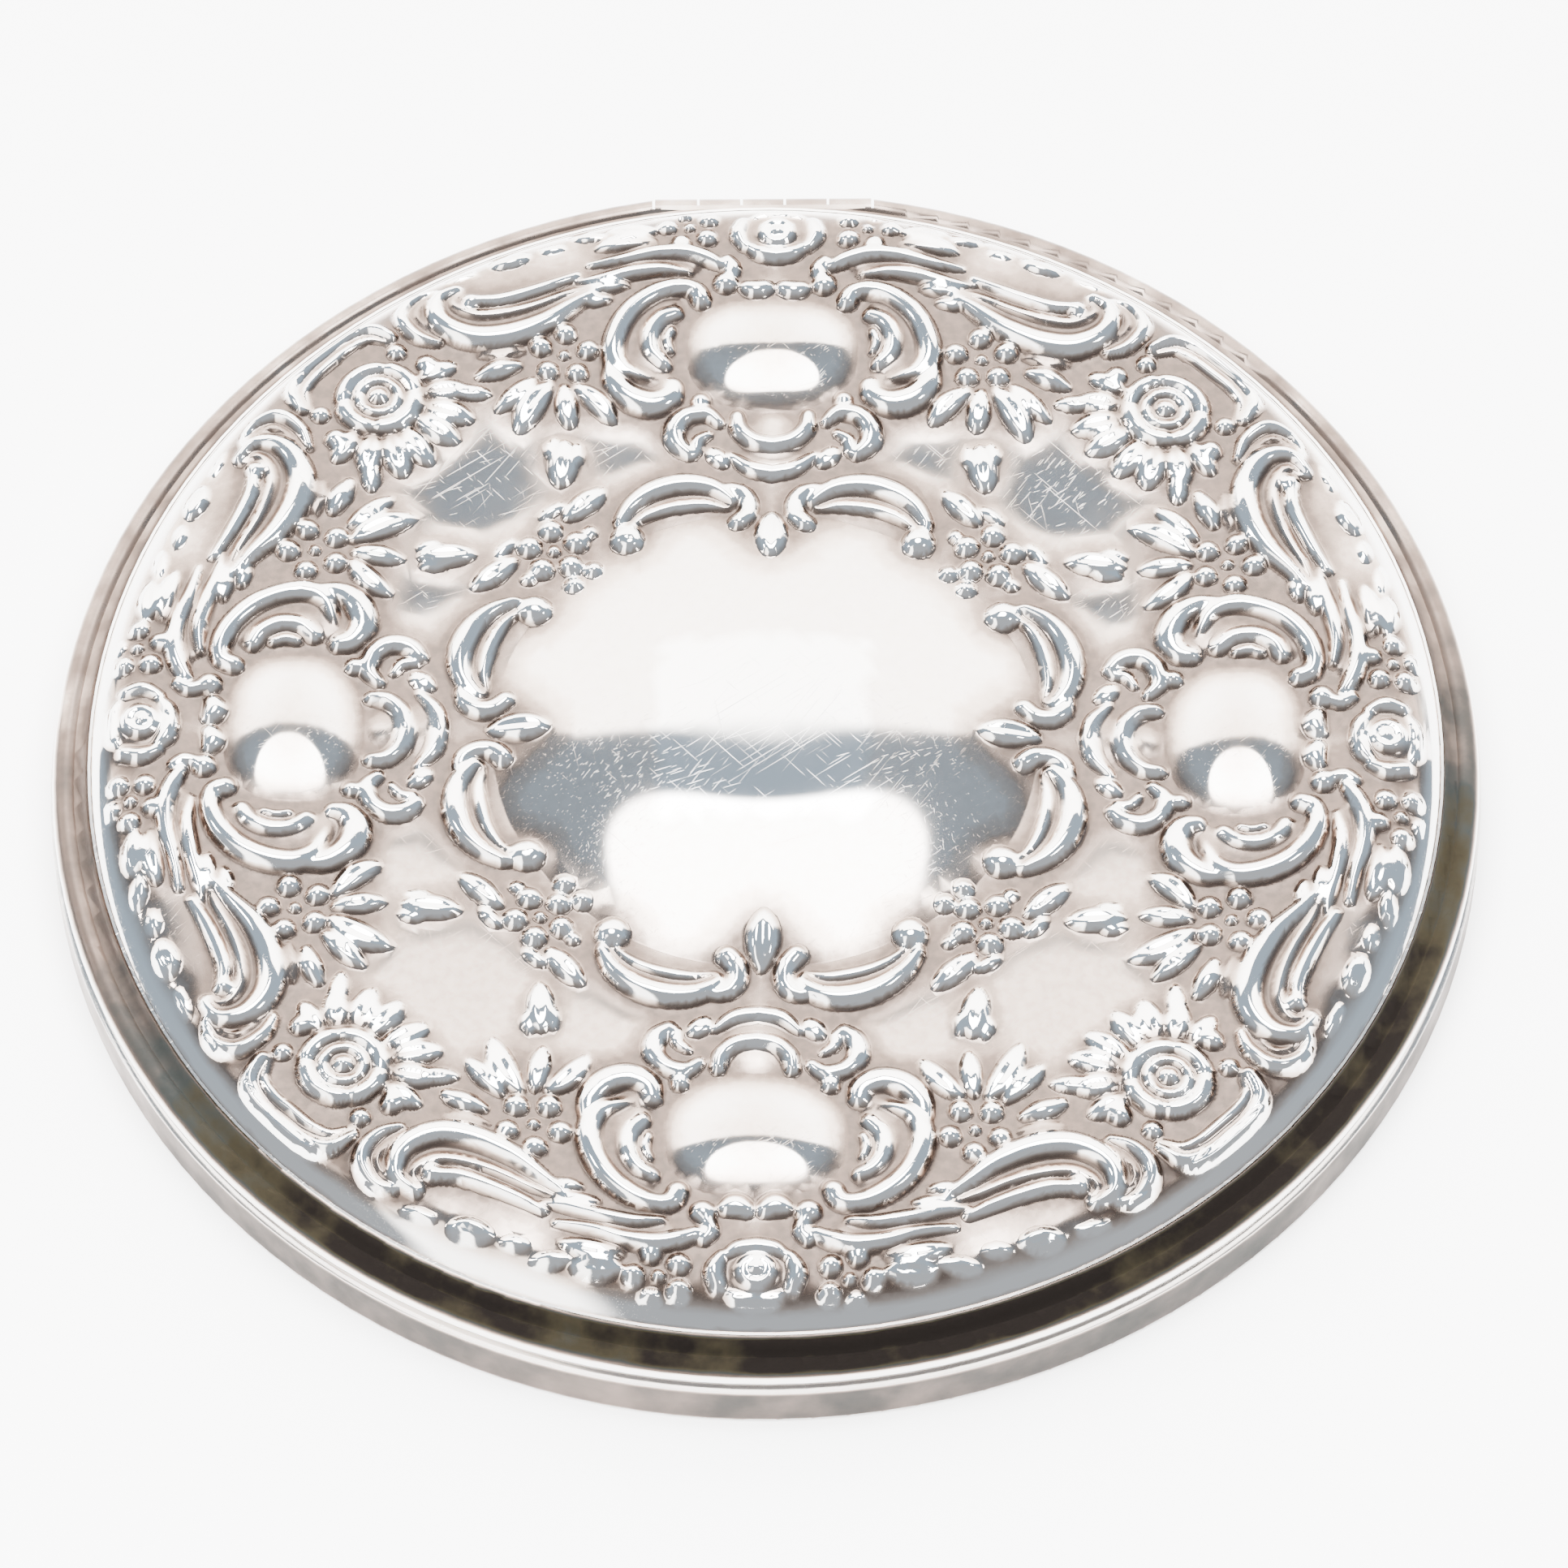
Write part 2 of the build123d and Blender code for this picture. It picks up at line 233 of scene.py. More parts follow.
def makeHairlines():
    # fine straight scratches: the peaks of noise that is stretched hard along five directions
    tree, inside, out, add, join = newGroup(
        "hairlines",
        {"Vector": ("NodeSocketVector", None), "Scale": ("NodeSocketFloat", 12000.0), "Amount": ("NodeSocketFloat", 1.0)},
        {"Lines": "NodeSocketFloat"},
    )
    total = None
    # each row is a direction, how far the noise is stretched along it, and how rare its peaks are
    for turn, stretch, level in (
        (-0.62, 260.0, 0.7),
        (0.75, 220.0, 0.71),
        (-1.25, 180.0, 0.715),
        (-0.95, 300.0, 0.695),
        (0.2, 160.0, 0.73),
    ):
        mapping = add("ShaderNodeMapping", vector_type="TEXTURE")
        mapping.inputs["Location"].default_value = (0.31 * turn, 0.17 * turn, 0)
        mapping.inputs["Rotation"].default_value = (0, 0, turn)
        mapping.inputs["Scale"].default_value = (1.0, stretch, 1.0)
        join(inside.outputs["Vector"], mapping.inputs["Vector"])
        noise = add("ShaderNodeTexNoise")
        noise.inputs["Detail"].default_value = 1.0
        join(mapping.outputs[0], noise.inputs["Vector"])
        join(inside.outputs["Scale"], noise.inputs["Scale"])
        line = smoothStep(tree, noise.outputs["Fac"], level, level + 0.07)
        total = line if total is None else maths(tree, "MAXIMUM", total, line)
    patch = noiseOn(add, join, inside.outputs["Vector"], 90.0)
    broken = maths(tree, "MULTIPLY", total, smoothStep(tree, patch.outputs["Fac"], 0.3, 0.6, 0.25, 1.0))
    join(maths(tree, "MULTIPLY", broken, inside.outputs["Amount"]), out.inputs["Lines"])
    return tree


def makeTarnishFilm():
    # colour of the sulphide film on silver by its thickness: straw, rose brown, blue green, then grey brown
    tree, inside, out, add, join = newGroup(
        "tarnishFilm",
        {"Thickness": ("NodeSocketFloat", 0.5), "Metal": ("NodeSocketColor", (0.9, 0.88, 0.86, 1))},
        {"Color": "NodeSocketColor", "Dull": "NodeSocketFloat"},
    )
    ramp = add("ShaderNodeValToRGB")
    steps = ramp.color_ramp
    steps.elements[0].position = 0.0
    steps.elements[0].color = (1, 1, 1, 1)
    steps.elements[1].position = 1.0
    steps.elements[1].color = (0.05, 0.042, 0.038, 1)
    for place, colour in (
        (0.12, (0.62, 0.53, 0.47, 1)),
        (0.25, (0.3, 0.235, 0.2, 1)),
        (0.42, (0.15, 0.112, 0.094, 1)),
        (0.58, (0.075, 0.066, 0.06, 1)),
        (0.7, (0.058, 0.064, 0.062, 1)),
        (0.85, (0.12, 0.104, 0.07, 1)),
    ):
        steps.elements.new(place).color = colour
    join(inside.outputs["Thickness"], ramp.inputs["Fac"])
    blend = add("ShaderNodeMix", data_type="RGBA", blend_type="MULTIPLY")
    blend.inputs[0].default_value = 1.0
    join(inside.outputs["Metal"], blend.inputs[6])
    join(ramp.outputs["Color"], blend.inputs[7])
    join(blend.outputs[2], out.inputs["Color"])
    dull = maths(tree, "POWER", inside.outputs["Thickness"], 1.7)
    join(maths(tree, "MULTIPLY", dull, 1.25), out.inputs["Dull"])
    return tree


def makeGrime():
    # soft blotches of two sizes, for handling marks and uneven polish
    tree, inside, out, add, join = newGroup(
        "grime",
        {"Vector": ("NodeSocketVector", None), "Scale": ("NodeSocketFloat", 60.0)},
        {"Blotch": "NodeSocketFloat"},
    )
    wide = add("ShaderNodeTexNoise")
    wide.inputs["Detail"].default_value = 6.0
    join(inside.outputs["Vector"], wide.inputs["Vector"])
    join(inside.outputs["Scale"], wide.inputs["Scale"])
    fine = add("ShaderNodeTexNoise")
    fine.inputs["Detail"].default_value = 4.0
    join(inside.outputs["Vector"], fine.inputs["Vector"])
    join(maths(tree, "MULTIPLY", inside.outputs["Scale"], 7.0), fine.inputs["Scale"])
    small = maths(tree, "MULTIPLY", fine.outputs["Fac"], 0.3)
    both = maths(tree, "ADD", maths(tree, "MULTIPLY", wide.outputs["Fac"], 0.7), small)
    join(smoothStep(tree, both, 0.35, 0.65), out.inputs["Blotch"])
    return tree


hairlines = makeHairlines()
tarnishFilm = makeTarnishFilm()
grime = makeGrime()


def newMaterial(name):
    # a material with one Principled shader. Gives material, tree, shader, add, join and the Object coordinates
    material = bpy.data.materials.new(name)
    material.use_nodes = True
    tree = material.node_tree
    add, join = newTree(tree)
    shader = add("ShaderNodeBsdfPrincipled")
    output = add("ShaderNodeOutputMaterial")
    join(shader.outputs[0], output.inputs[0])
    place = add("ShaderNodeTexCoord").outputs["Object"]
    return material, tree, shader, add, join, place


def placeGroup(add, join, group, **inputs):
    # places a node group and sets or links its inputs by name
    node = add("ShaderNodeGroup", node_tree=group)
    for label, value in inputs.items():
        socket = node.inputs[label]
        if isinstance(value, (int, float)):
            socket.default_value = value
        elif isinstance(value, tuple):
            socket.default_value = (*value, 1.0)
        else:
            join(value, socket)
    return node


def bumpFrom(add, join, height, strength, distance):
    node = add("ShaderNodeBump")
    node.inputs["Strength"].default_value = strength
    node.inputs["Distance"].default_value = distance
    join(height, node.inputs["Height"])
    return node.outputs["Normal"]


def makeSilver(name, film, metal=(0.93, 0.92, 0.905), rough=0.025, scratch=1.0):
    # polished silver. film(tree, add, join, place) gives the tarnish thickness, 0 to 1
    material, tree, shader, add, join, place = newMaterial(name)
    lines = placeGroup(add, join, hairlines, Vector=place, Scale=12000.0, Amount=scratch).outputs["Lines"]
    blotch = placeGroup(add, join, grime, Vector=place, Scale=70.0).outputs["Blotch"]
    tarnish = placeGroup(add, join, tarnishFilm, Thickness=film(tree, add, join, place), Metal=metal)
    join(tarnish.outputs["Color"], shader.inputs["Base Color"])
    shader.inputs["Metallic"].default_value = 1.0
    soft = maths(tree, "ADD", maths(tree, "MULTIPLY", blotch, 0.02), maths(tree, "MULTIPLY", lines, 0.1))
    soft = maths(tree, "ADD", soft, tarnish.outputs["Dull"])
    join(maths(tree, "ADD", soft, rough, clamp=True), shader.inputs["Roughness"])
    join(bumpFrom(add, join, lines, 0.1, 0.00001), shader.inputs["Normal"])
    return material


def recessFilm(tree, add, join, place):
    # tarnish that fills the low places of the chasing, from the mesh's own recess attribute
    recess = add("ShaderNodeAttribute", attribute_name="recess").outputs["Fac"]
    speckle = noiseOn(add, join, place, 1400.0, 4.0)
    uneven = smoothStep(tree, speckle.outputs["Fac"], 0.3, 0.7, 0.92, 1.06)
    return maths(tree, "MULTIPLY", maths(tree, "MULTIPLY", recess, uneven), 0.46, clamp=True)


def wallFilm(low, high, base, depth=1.0):
    # tarnish in bands round the rim, thicker between the heights low and high, and uneven round the circle, plus
    # painted shade that thickens it towards the front

    def film(tree, add, join, place):
        split = add("ShaderNodeSeparateXYZ")
        join(place, split.inputs[0])
        drift = noiseOn(add, join, place, 28.0, 5.0)
        streak = noiseOn(add, join, place, 260.0, 4.0)
        height = maths(tree, "MULTIPLY", split.outputs["Z"], 1000.0)
        above = smoothStep(tree, height, low - 0.3, low + 0.3)
        band = maths(tree, "MULTIPLY", above, smoothStep(tree, height, high - 0.3, high + 0.3, 1.0, 0.0))
        # painted shade: the film is made thicker towards the front of the object (−Y)
        frontShade = smoothStep(tree, split.outputs["Y"], -0.05, 0.02, 0.3, -0.1)
        level = maths(tree, "ADD", maths(tree, "MULTIPLY", drift.outputs["Fac"], 0.55), frontShade)
        level = maths(tree, "ADD", level, maths(tree, "MULTIPLY", maths(tree, "SUBTRACT", streak.outputs["Fac"], 0.5), 0.35))
        return maths(tree, "MULTIPLY", maths(tree, "ADD", maths(tree, "MULTIPLY", band, depth), base), level, clamp=True)

    return film


silverLid = makeSilver("silverChased", recessFilm)
silverRim = makeSilver("silverRim", wallFilm(5.9, 7.1, 0.06, 1.7), rough=0.06, scratch=0.6)
silverPan = makeSilver("silverPan", wallFilm(0.3, 3.9, 0.0), rough=0.12, scratch=0.9)
silverPlain = makeSilver("silverPlain", wallFilm(0.0, 6.0, 0.1), rough=0.16, scratch=0.8)


def makeGilt():
    # thin gilding over silver: satin, with turned rings round the centre and paler rubbed places
    material, tree, shader, add, join, place = newMaterial("giltWash")
    lines = placeGroup(add, join, hairlines, Vector=place, Scale=9000.0, Amount=0.7).outputs["Lines"]
    blotch = placeGroup(add, join, grime, Vector=place, Scale=45.0).outputs["Blotch"]
    rings = add("ShaderNodeTexWave", wave_type="RINGS", rings_direction="Z")
    rings.inputs["Scale"].default_value = 900.0
    rings.inputs["Distortion"].default_value = 0.6
    rings.inputs["Detail"].default_value = 2.0
    join(place, rings.inputs["Vector"])
    join(mixColour(tree, blotch, (0.83, 0.62, 0.30), (0.90, 0.74, 0.46)), shader.inputs["Base Color"])
    shader.inputs["Metallic"].default_value = 1.0
    rough = maths(tree, "ADD", maths(tree, "MULTIPLY", blotch, 0.1), maths(tree, "MULTIPLY", lines, 0.2))
    join(maths(tree, "ADD", rough, 0.2), shader.inputs["Roughness"])
    height = maths(tree, "ADD", maths(tree, "MULTIPLY", rings.outputs["Fac"], 0.5), lines)
    join(bumpFrom(add, join, height, 0.08, 0.00003), shader.inputs["Normal"])
    return material


def makeMirror():
    # silvered plate glass with faint smears and a few foxed spots near its edge
    material, tree, shader, add, join, place = newMaterial("mirrorGlass")
    blotch = placeGroup(add, join, grime, Vector=place, Scale=35.0).outputs["Blotch"]
    split = add("ShaderNodeSeparateXYZ")
    join(place, split.inputs[0])
    flat = add("ShaderNodeCombineXYZ")
    join(split.outputs["X"], flat.inputs["X"])
    join(split.outputs["Y"], flat.inputs["Y"])
    reach = add("ShaderNodeVectorMath", operation="LENGTH")
    join(flat.outputs[0], reach.inputs[0])
    spots = add("ShaderNodeTexVoronoi")
    spots.inputs["Scale"].default_value = 260.0
    join(place, spots.inputs["Vector"])
    fleck = smoothStep(tree, spots.outputs["Distance"], 0.12, 0.3, 1.0, 0.0)
    fox = maths(tree, "MULTIPLY", fleck, smoothStep(tree, reach.outputs["Value"], 0.040, 0.046))
    join(mixColour(tree, maths(tree, "MULTIPLY", fox, 0.8), (0.9, 0.92, 0.92), (0.25, 0.22, 0.18)), shader.inputs["Base Color"])
    shader.inputs["Metallic"].default_value = 1.0
    join(maths(tree, "ADD", maths(tree, "MULTIPLY", blotch, 0.03), maths(tree, "MULTIPLY", fox, 0.3)), shader.inputs["Roughness"])
    return material


def makeSpringSteel(name, colour, rough):
    # drawn or rolled steel with a grain along X
    material, tree, shader, add, join, place = newMaterial(name)
    mapping = add("ShaderNodeMapping")
    mapping.inputs["Scale"].default_value = (0.05, 1.0, 1.0)
    join(place, mapping.inputs["Vector"])
    grain = noiseOn(add, join, mapping.outputs[0], 3000.0, 3.0)
    blotch = placeGroup(add, join, grime, Vector=place, Scale=200.0).outputs["Blotch"]
    dark = tuple(0.6 * part for part in colour)
    join(mixColour(tree, blotch, dark, colour), shader.inputs["Base Color"])
    shader.inputs["Metallic"].default_value = 1.0
    join(maths(tree, "ADD", maths(tree, "MULTIPLY", grain.outputs["Fac"], 0.2), rough), shader.inputs["Roughness"])
    join(bumpFrom(add, join, grain.outputs["Fac"], 0.2, 0.00002), shader.inputs["Normal"])
    return material


def makePowder():
    # pressed-down loose powder: matt, speckled and softly lumpy
    material, tree, shader, add, join, place = newMaterial("facePowder")
    lumps = noiseOn(add, join, place, 500.0, 8.0)
    join(mixColour(tree, lumps.outputs["Fac"], (0.74, 0.50, 0.37), (0.90, 0.68, 0.55)), shader.inputs["Base Color"])
    shader.inputs["Roughness"].default_value = 0.95
    join(bumpFrom(add, join, lumps.outputs["Fac"], 0.6, 0.0002), shader.inputs["Normal"])
    return material


def makeWeaveGroup():
    # plain weave: two crossed sets of threads, with the fill between them for open cloth
    tree, inside, out, add, join = newGroup(
        "weave",
        {"Vector": ("NodeSocketVector", None), "Threads": ("NodeSocketFloat", 2600.0)},
        {"Relief": "NodeSocketFloat", "ShadeAndFuzz": "NodeSocketFloat", "Fill": "NodeSocketFloat"},
    )
    split = add("ShaderNodeSeparateXYZ")
    join(inside.outputs["Vector"], split.inputs[0])
    turns = maths(tree, "MULTIPLY", inside.outputs["Threads"], math.pi)
    warp = maths(tree, "ABSOLUTE", maths(tree, "SINE", maths(tree, "MULTIPLY", split.outputs["X"], turns)))
    weft = maths(tree, "ABSOLUTE", maths(tree, "SINE", maths(tree, "MULTIPLY", split.outputs["Y"], turns)))
    over = maths(tree, "ADD", maths(tree, "MULTIPLY", warp, 0.5), maths(tree, "MULTIPLY", weft, 0.5))
    fuzz = noiseOn(add, join, inside.outputs["Vector"], 1500.0)
    join(over, out.inputs["Relief"])
    # painted shade: the colour follows the thread relief, lighter on the crests and darker between threads, with
    # random fuzz
    stray = maths(tree, "MULTIPLY", fuzz.outputs["Fac"], 0.3)
    join(maths(tree, "ADD", maths(tree, "MULTIPLY", over, 0.7), stray), out.inputs["ShadeAndFuzz"])
    join(maths(tree, "MAXIMUM", warp, weft), out.inputs["Fill"])
    return tree


weave = makeWeaveGroup()


def makeWeave(name, light, dark, threads, rough, holes=0.0, sheen=0.3):
    # woven cloth on Object coordinates. holes opens the gaps between the threads
    material, tree, shader, add, join, place = newMaterial(name)
    cloth = placeGroup(add, join, weave, Vector=place, Threads=threads)
    # painted shade: the cloth is coloured lighter on its thread crests and darker between them
    join(mixColour(tree, cloth.outputs["ShadeAndFuzz"], dark, light), shader.inputs["Base Color"])
    shader.inputs["Roughness"].default_value = rough
    shader.inputs["Sheen Weight"].default_value = sheen
    if holes > 0:
        join(smoothStep(tree, cloth.outputs["Fill"], holes, holes + 0.06, 0.12, 1.0), shader.inputs["Alpha"])
    join(bumpFrom(add, join, cloth.outputs["Relief"], 0.5, 0.00006), shader.inputs["Normal"])
    return material


def makeVelour():
    # short velour pile: fine fibre noise, brushed light and dark, with a soft sheen
    material, tree, shader, add, join, place = newMaterial("puffVelour")
    fibre = noiseOn(add, join, place, 3500.0, 4.0)
    brushed = add("ShaderNodeTexNoise")
    brushed.inputs["Scale"].default_value = 110.0
    brushed.inputs["Distortion"].default_value = 1.2
    join(place, brushed.inputs["Vector"])
    pile = maths(tree, "MULTIPLY", brushed.outputs["Fac"], 0.55)
    tone = maths(tree, "ADD", maths(tree, "MULTIPLY", fibre.outputs["Fac"], 0.45), pile)
    join(mixColour(tree, smoothStep(tree, tone, 0.3, 0.7), (0.30, 0.15, 0.13), (0.48, 0.29, 0.25)), shader.inputs["Base Color"])
    shader.inputs["Roughness"].default_value = 0.9
    shader.inputs["Sheen Weight"].default_value = 0.7
    shader.inputs["Sheen Roughness"].default_value = 0.4
    join(bumpFrom(add, join, tone, 0.8, 0.00025), shader.inputs["Normal"])
    return material


def makeBoard():
    # grey-brown pulp board with flecks
    material, tree, shader, add, join, place = newMaterial("pulpBoard")
    fleck = noiseOn(add, join, place, 900.0, 6.0)
    join(mixColour(tree, fleck.outputs["Fac"], (0.25, 0.19, 0.13), (0.5, 0.41, 0.3)), shader.inputs["Base Color"])
    shader.inputs["Roughness"].default_value = 0.9
    join(bumpFrom(add, join, fleck.outputs["Fac"], 0.3, 0.0001), shader.inputs["Normal"])
    return material


gilt = makeGilt()
finishes = {
    "base_pan": silverPan,
    "lid_rim": silverRim,
    "hinge_leaf_base": silverPlain,
    "hinge_leaf_lid": silverPlain,
    "catch_lug": silverPlain,
    "mirror_bezel": gilt,
    "mirror_glass": makeMirror(),
    "mirror_card": makeBoard(),
    "hinge_pin": makeSpringSteel("pinSteel", (0.66, 0.66, 0.66), 0.25),
    "tray_deck": gilt,
    "powder_well": gilt,
    "sifter_frame": gilt,
    "door_plate": gilt,
    "door_tab": gilt,
    "door_ears": gilt,
    "door_catch": gilt,
    "catch_rivets": gilt,
    "catch_spring": makeSpringSteel("springSteel", (0.42, 0.44, 0.5), 0.25),
    "loose_powder": makePowder(),
    "sifter_screen": makeWeave("silkGauze", (0.95, 0.9, 0.8), (0.7, 0.62, 0.5), 2600.0, 0.6, holes=0.35),
}
finishes["door_pin"] = finishes["hinge_pin"]
for nodeName, material in finishes.items():
    for place in nodes[nodeName].material_slots:
        place.material = material
print("finishes on the CAD nodes")

# the lid's chased ornament, in millimetres
lidSet = {
    "radius": 50.78,
    "foot": 7.3,
    "bottom": 5.2,
    "sheet": 0.5,
    "top": 8.85,
    "pillow": 1.85,
    "pillowRadius": 20.5,
    "dish": 0.62,
    "rollFrom": 46.0,
    "roll": 2.8,
    "turn": math.radians(-1.35),
    "grid": 520,
    "keep": 0.3,
}
cell = 0.06
mapLeft, mapLow, mapRight, mapHigh = -4.0, 8.0, 42.0, 54.0
mapX = np.arange(mapLeft, mapRight, cell)
mapY = np.arange(mapLow, mapHigh, cell)
relief = np.zeros((len(mapY), len(mapX)))


def smoothPath(points, step=0.12):
    # catmull-Rom curve through rows of (x, y, half width, height), sampled about every step mm
    p = np.asarray(points, float)
    p = np.vstack([2 * p[0] - p[1], p, 2 * p[-1] - p[-2]])
    rows = []
    for a, b, c, d in zip(p[:-3], p[1:-2], p[2:-1], p[3:]):
        count = max(2, int(math.dist(b[:2], c[:2]) / step))
        t = np.linspace(0, 1, count, endpoint=False)[:, None]
        rows.append(0.5 * (2 * b + (c - a) * t + (2 * a - 5 * b + 4 * c - d) * t**2 + (3 * b - a - 3 * c + d) * t**3))
    return np.vstack(rows + [p[-2:-1]])


def across(kind, s):
    # height across a stroke, 1 at most, by s, the distance from its middle line over its half width
    edge = np.clip(1 - np.abs(s) ** 2.4, 0, 1) ** 0.58
    if kind == "round":
        return edge
    if kind == "scroll":
        # s is signed here: a broad rounded ridge on the outer side, a trough, and a thin lip inside
        broad = np.sqrt(np.clip(1 - ((s + 0.42) / 0.58) ** 2, 0, 1))
        lip = 0.62 * np.sqrt(np.clip(1 - ((s - 0.68) / 0.3) ** 2, 0, 1))
        return np.maximum(np.maximum(broad, lip), 0.28 * np.clip(1 - np.abs(s) ** 6, 0, 1))
    if kind == "leaf":
        return edge**1.2 * (0.62 + 0.38 * np.clip(s / 0.32, 0, 1) ** 1.5)
    if kind == "cup":
        return (0.35 + 0.65 * np.clip(s / 0.75, 0, 1) ** 2) * np.clip(1 - s**6, 0, 1) ** 0.5
    return np.clip(1 - s**2.6, 0, 1)


def press(kind, points, lift=1.0):
    # raises a stroke in the relief: every cell takes the nearest sample's height times the profile across
    path = smoothPath(points) if len(points) > 1 else np.asarray(points, float)
    wide = path[:, 2].max()
    columns = slice(*np.clip(np.searchsorted(mapX, (path[:, 0].min() - wide, path[:, 0].max() + wide)), 0, len(mapX)))
    rows = slice(*np.clip(np.searchsorted(mapY, (path[:, 1].min() - wide, path[:, 1].max() + wide)), 0, len(mapY)))
    if columns.stop <= columns.start or rows.stop <= rows.start:
        return
    gridX, gridY = np.meshgrid(mapX[columns], mapY[rows])
    best = np.full(gridX.shape, 9.0)
    height = np.zeros(gridX.shape)
    side = np.ones(gridX.shape)
    run = np.gradient(path[:, :2], axis=0) if len(path) > 1 else np.zeros((1, 2))
    # the outer side of a scroll is the one it bends away from
    bend = np.sign(np.sum(run[:-1, 0] * run[1:, 1] - run[:-1, 1] * run[1:, 0])) if len(path) > 1 else 1
    for (x, y, width, rise), (alongX, alongY) in zip(path, run):
        s = np.hypot(gridX - x, gridY - y) / max(width, 0.05)
        closer = s < best
        best = np.where(closer, s, best)
        height = np.where(closer, rise, height)
        side = np.where(closer, np.sign(alongX * (gridY - y) - alongY * (gridX - x)) * bend, side)
    best = np.clip(best, 0, 1)
    shape = np.where(best < 1, height * lift * across(kind, best * side if kind == "scroll" else best), 0)
    relief[rows, columns] = np.maximum(relief[rows, columns], shape)


def bead(x, y, radius, height=None):
    press("round", [(x, y, radius, radius * 0.95 if height is None else height)])


def leaf(x0, y0, x1, y1, wide, height=0.85, bend=0.0):
    # a leaf from its base to its tip, widest a little past the middle, with a vein down it
    dx, dy = x1 - x0, y1 - y0
    mid = lambda t, off: (x0 + dx * t - dy * off, y0 + dy * t + dx * off)
    rows = []
    for t, share, tall in ((0, 0.5, 0.7), (0.25, 1.1, 0.95), (0.55, 1.3, 1.0), (0.82, 0.85, 0.8), (1.0, 0.25, 0.45)):
        rows.append((*mid(t, bend * math.sin(math.pi * t)), wide * share, height * tall))
    press("leaf", rows)


def blossom(x, y, ring, ball, count=5, turn=0.3, core=0.6):
    # round petals in a ring about a small centre
    for k in range(count):
        angle = turn + 2 * math.pi * k / count
        bead(x + ring * math.cos(angle), y + ring * math.sin(angle), ball)
    if core > 0:
        bead(x, y, core, 0.75)


def pad(x, y, halfWide, halfTall, height):
    # a smooth convex cushion: height times (1 - s squared) inside a rounded box where s reaches 1
    gridX, gridY = np.meshgrid(mapX, mapY)
    s = ((np.abs(gridX - x) / halfWide) ** 2.6 + (np.abs(gridY - y) / halfTall) ** 2.6) ** (1 / 2.6)
    np.maximum(relief, height * np.clip(1 - s**2.2, 0, 1), out=relief)


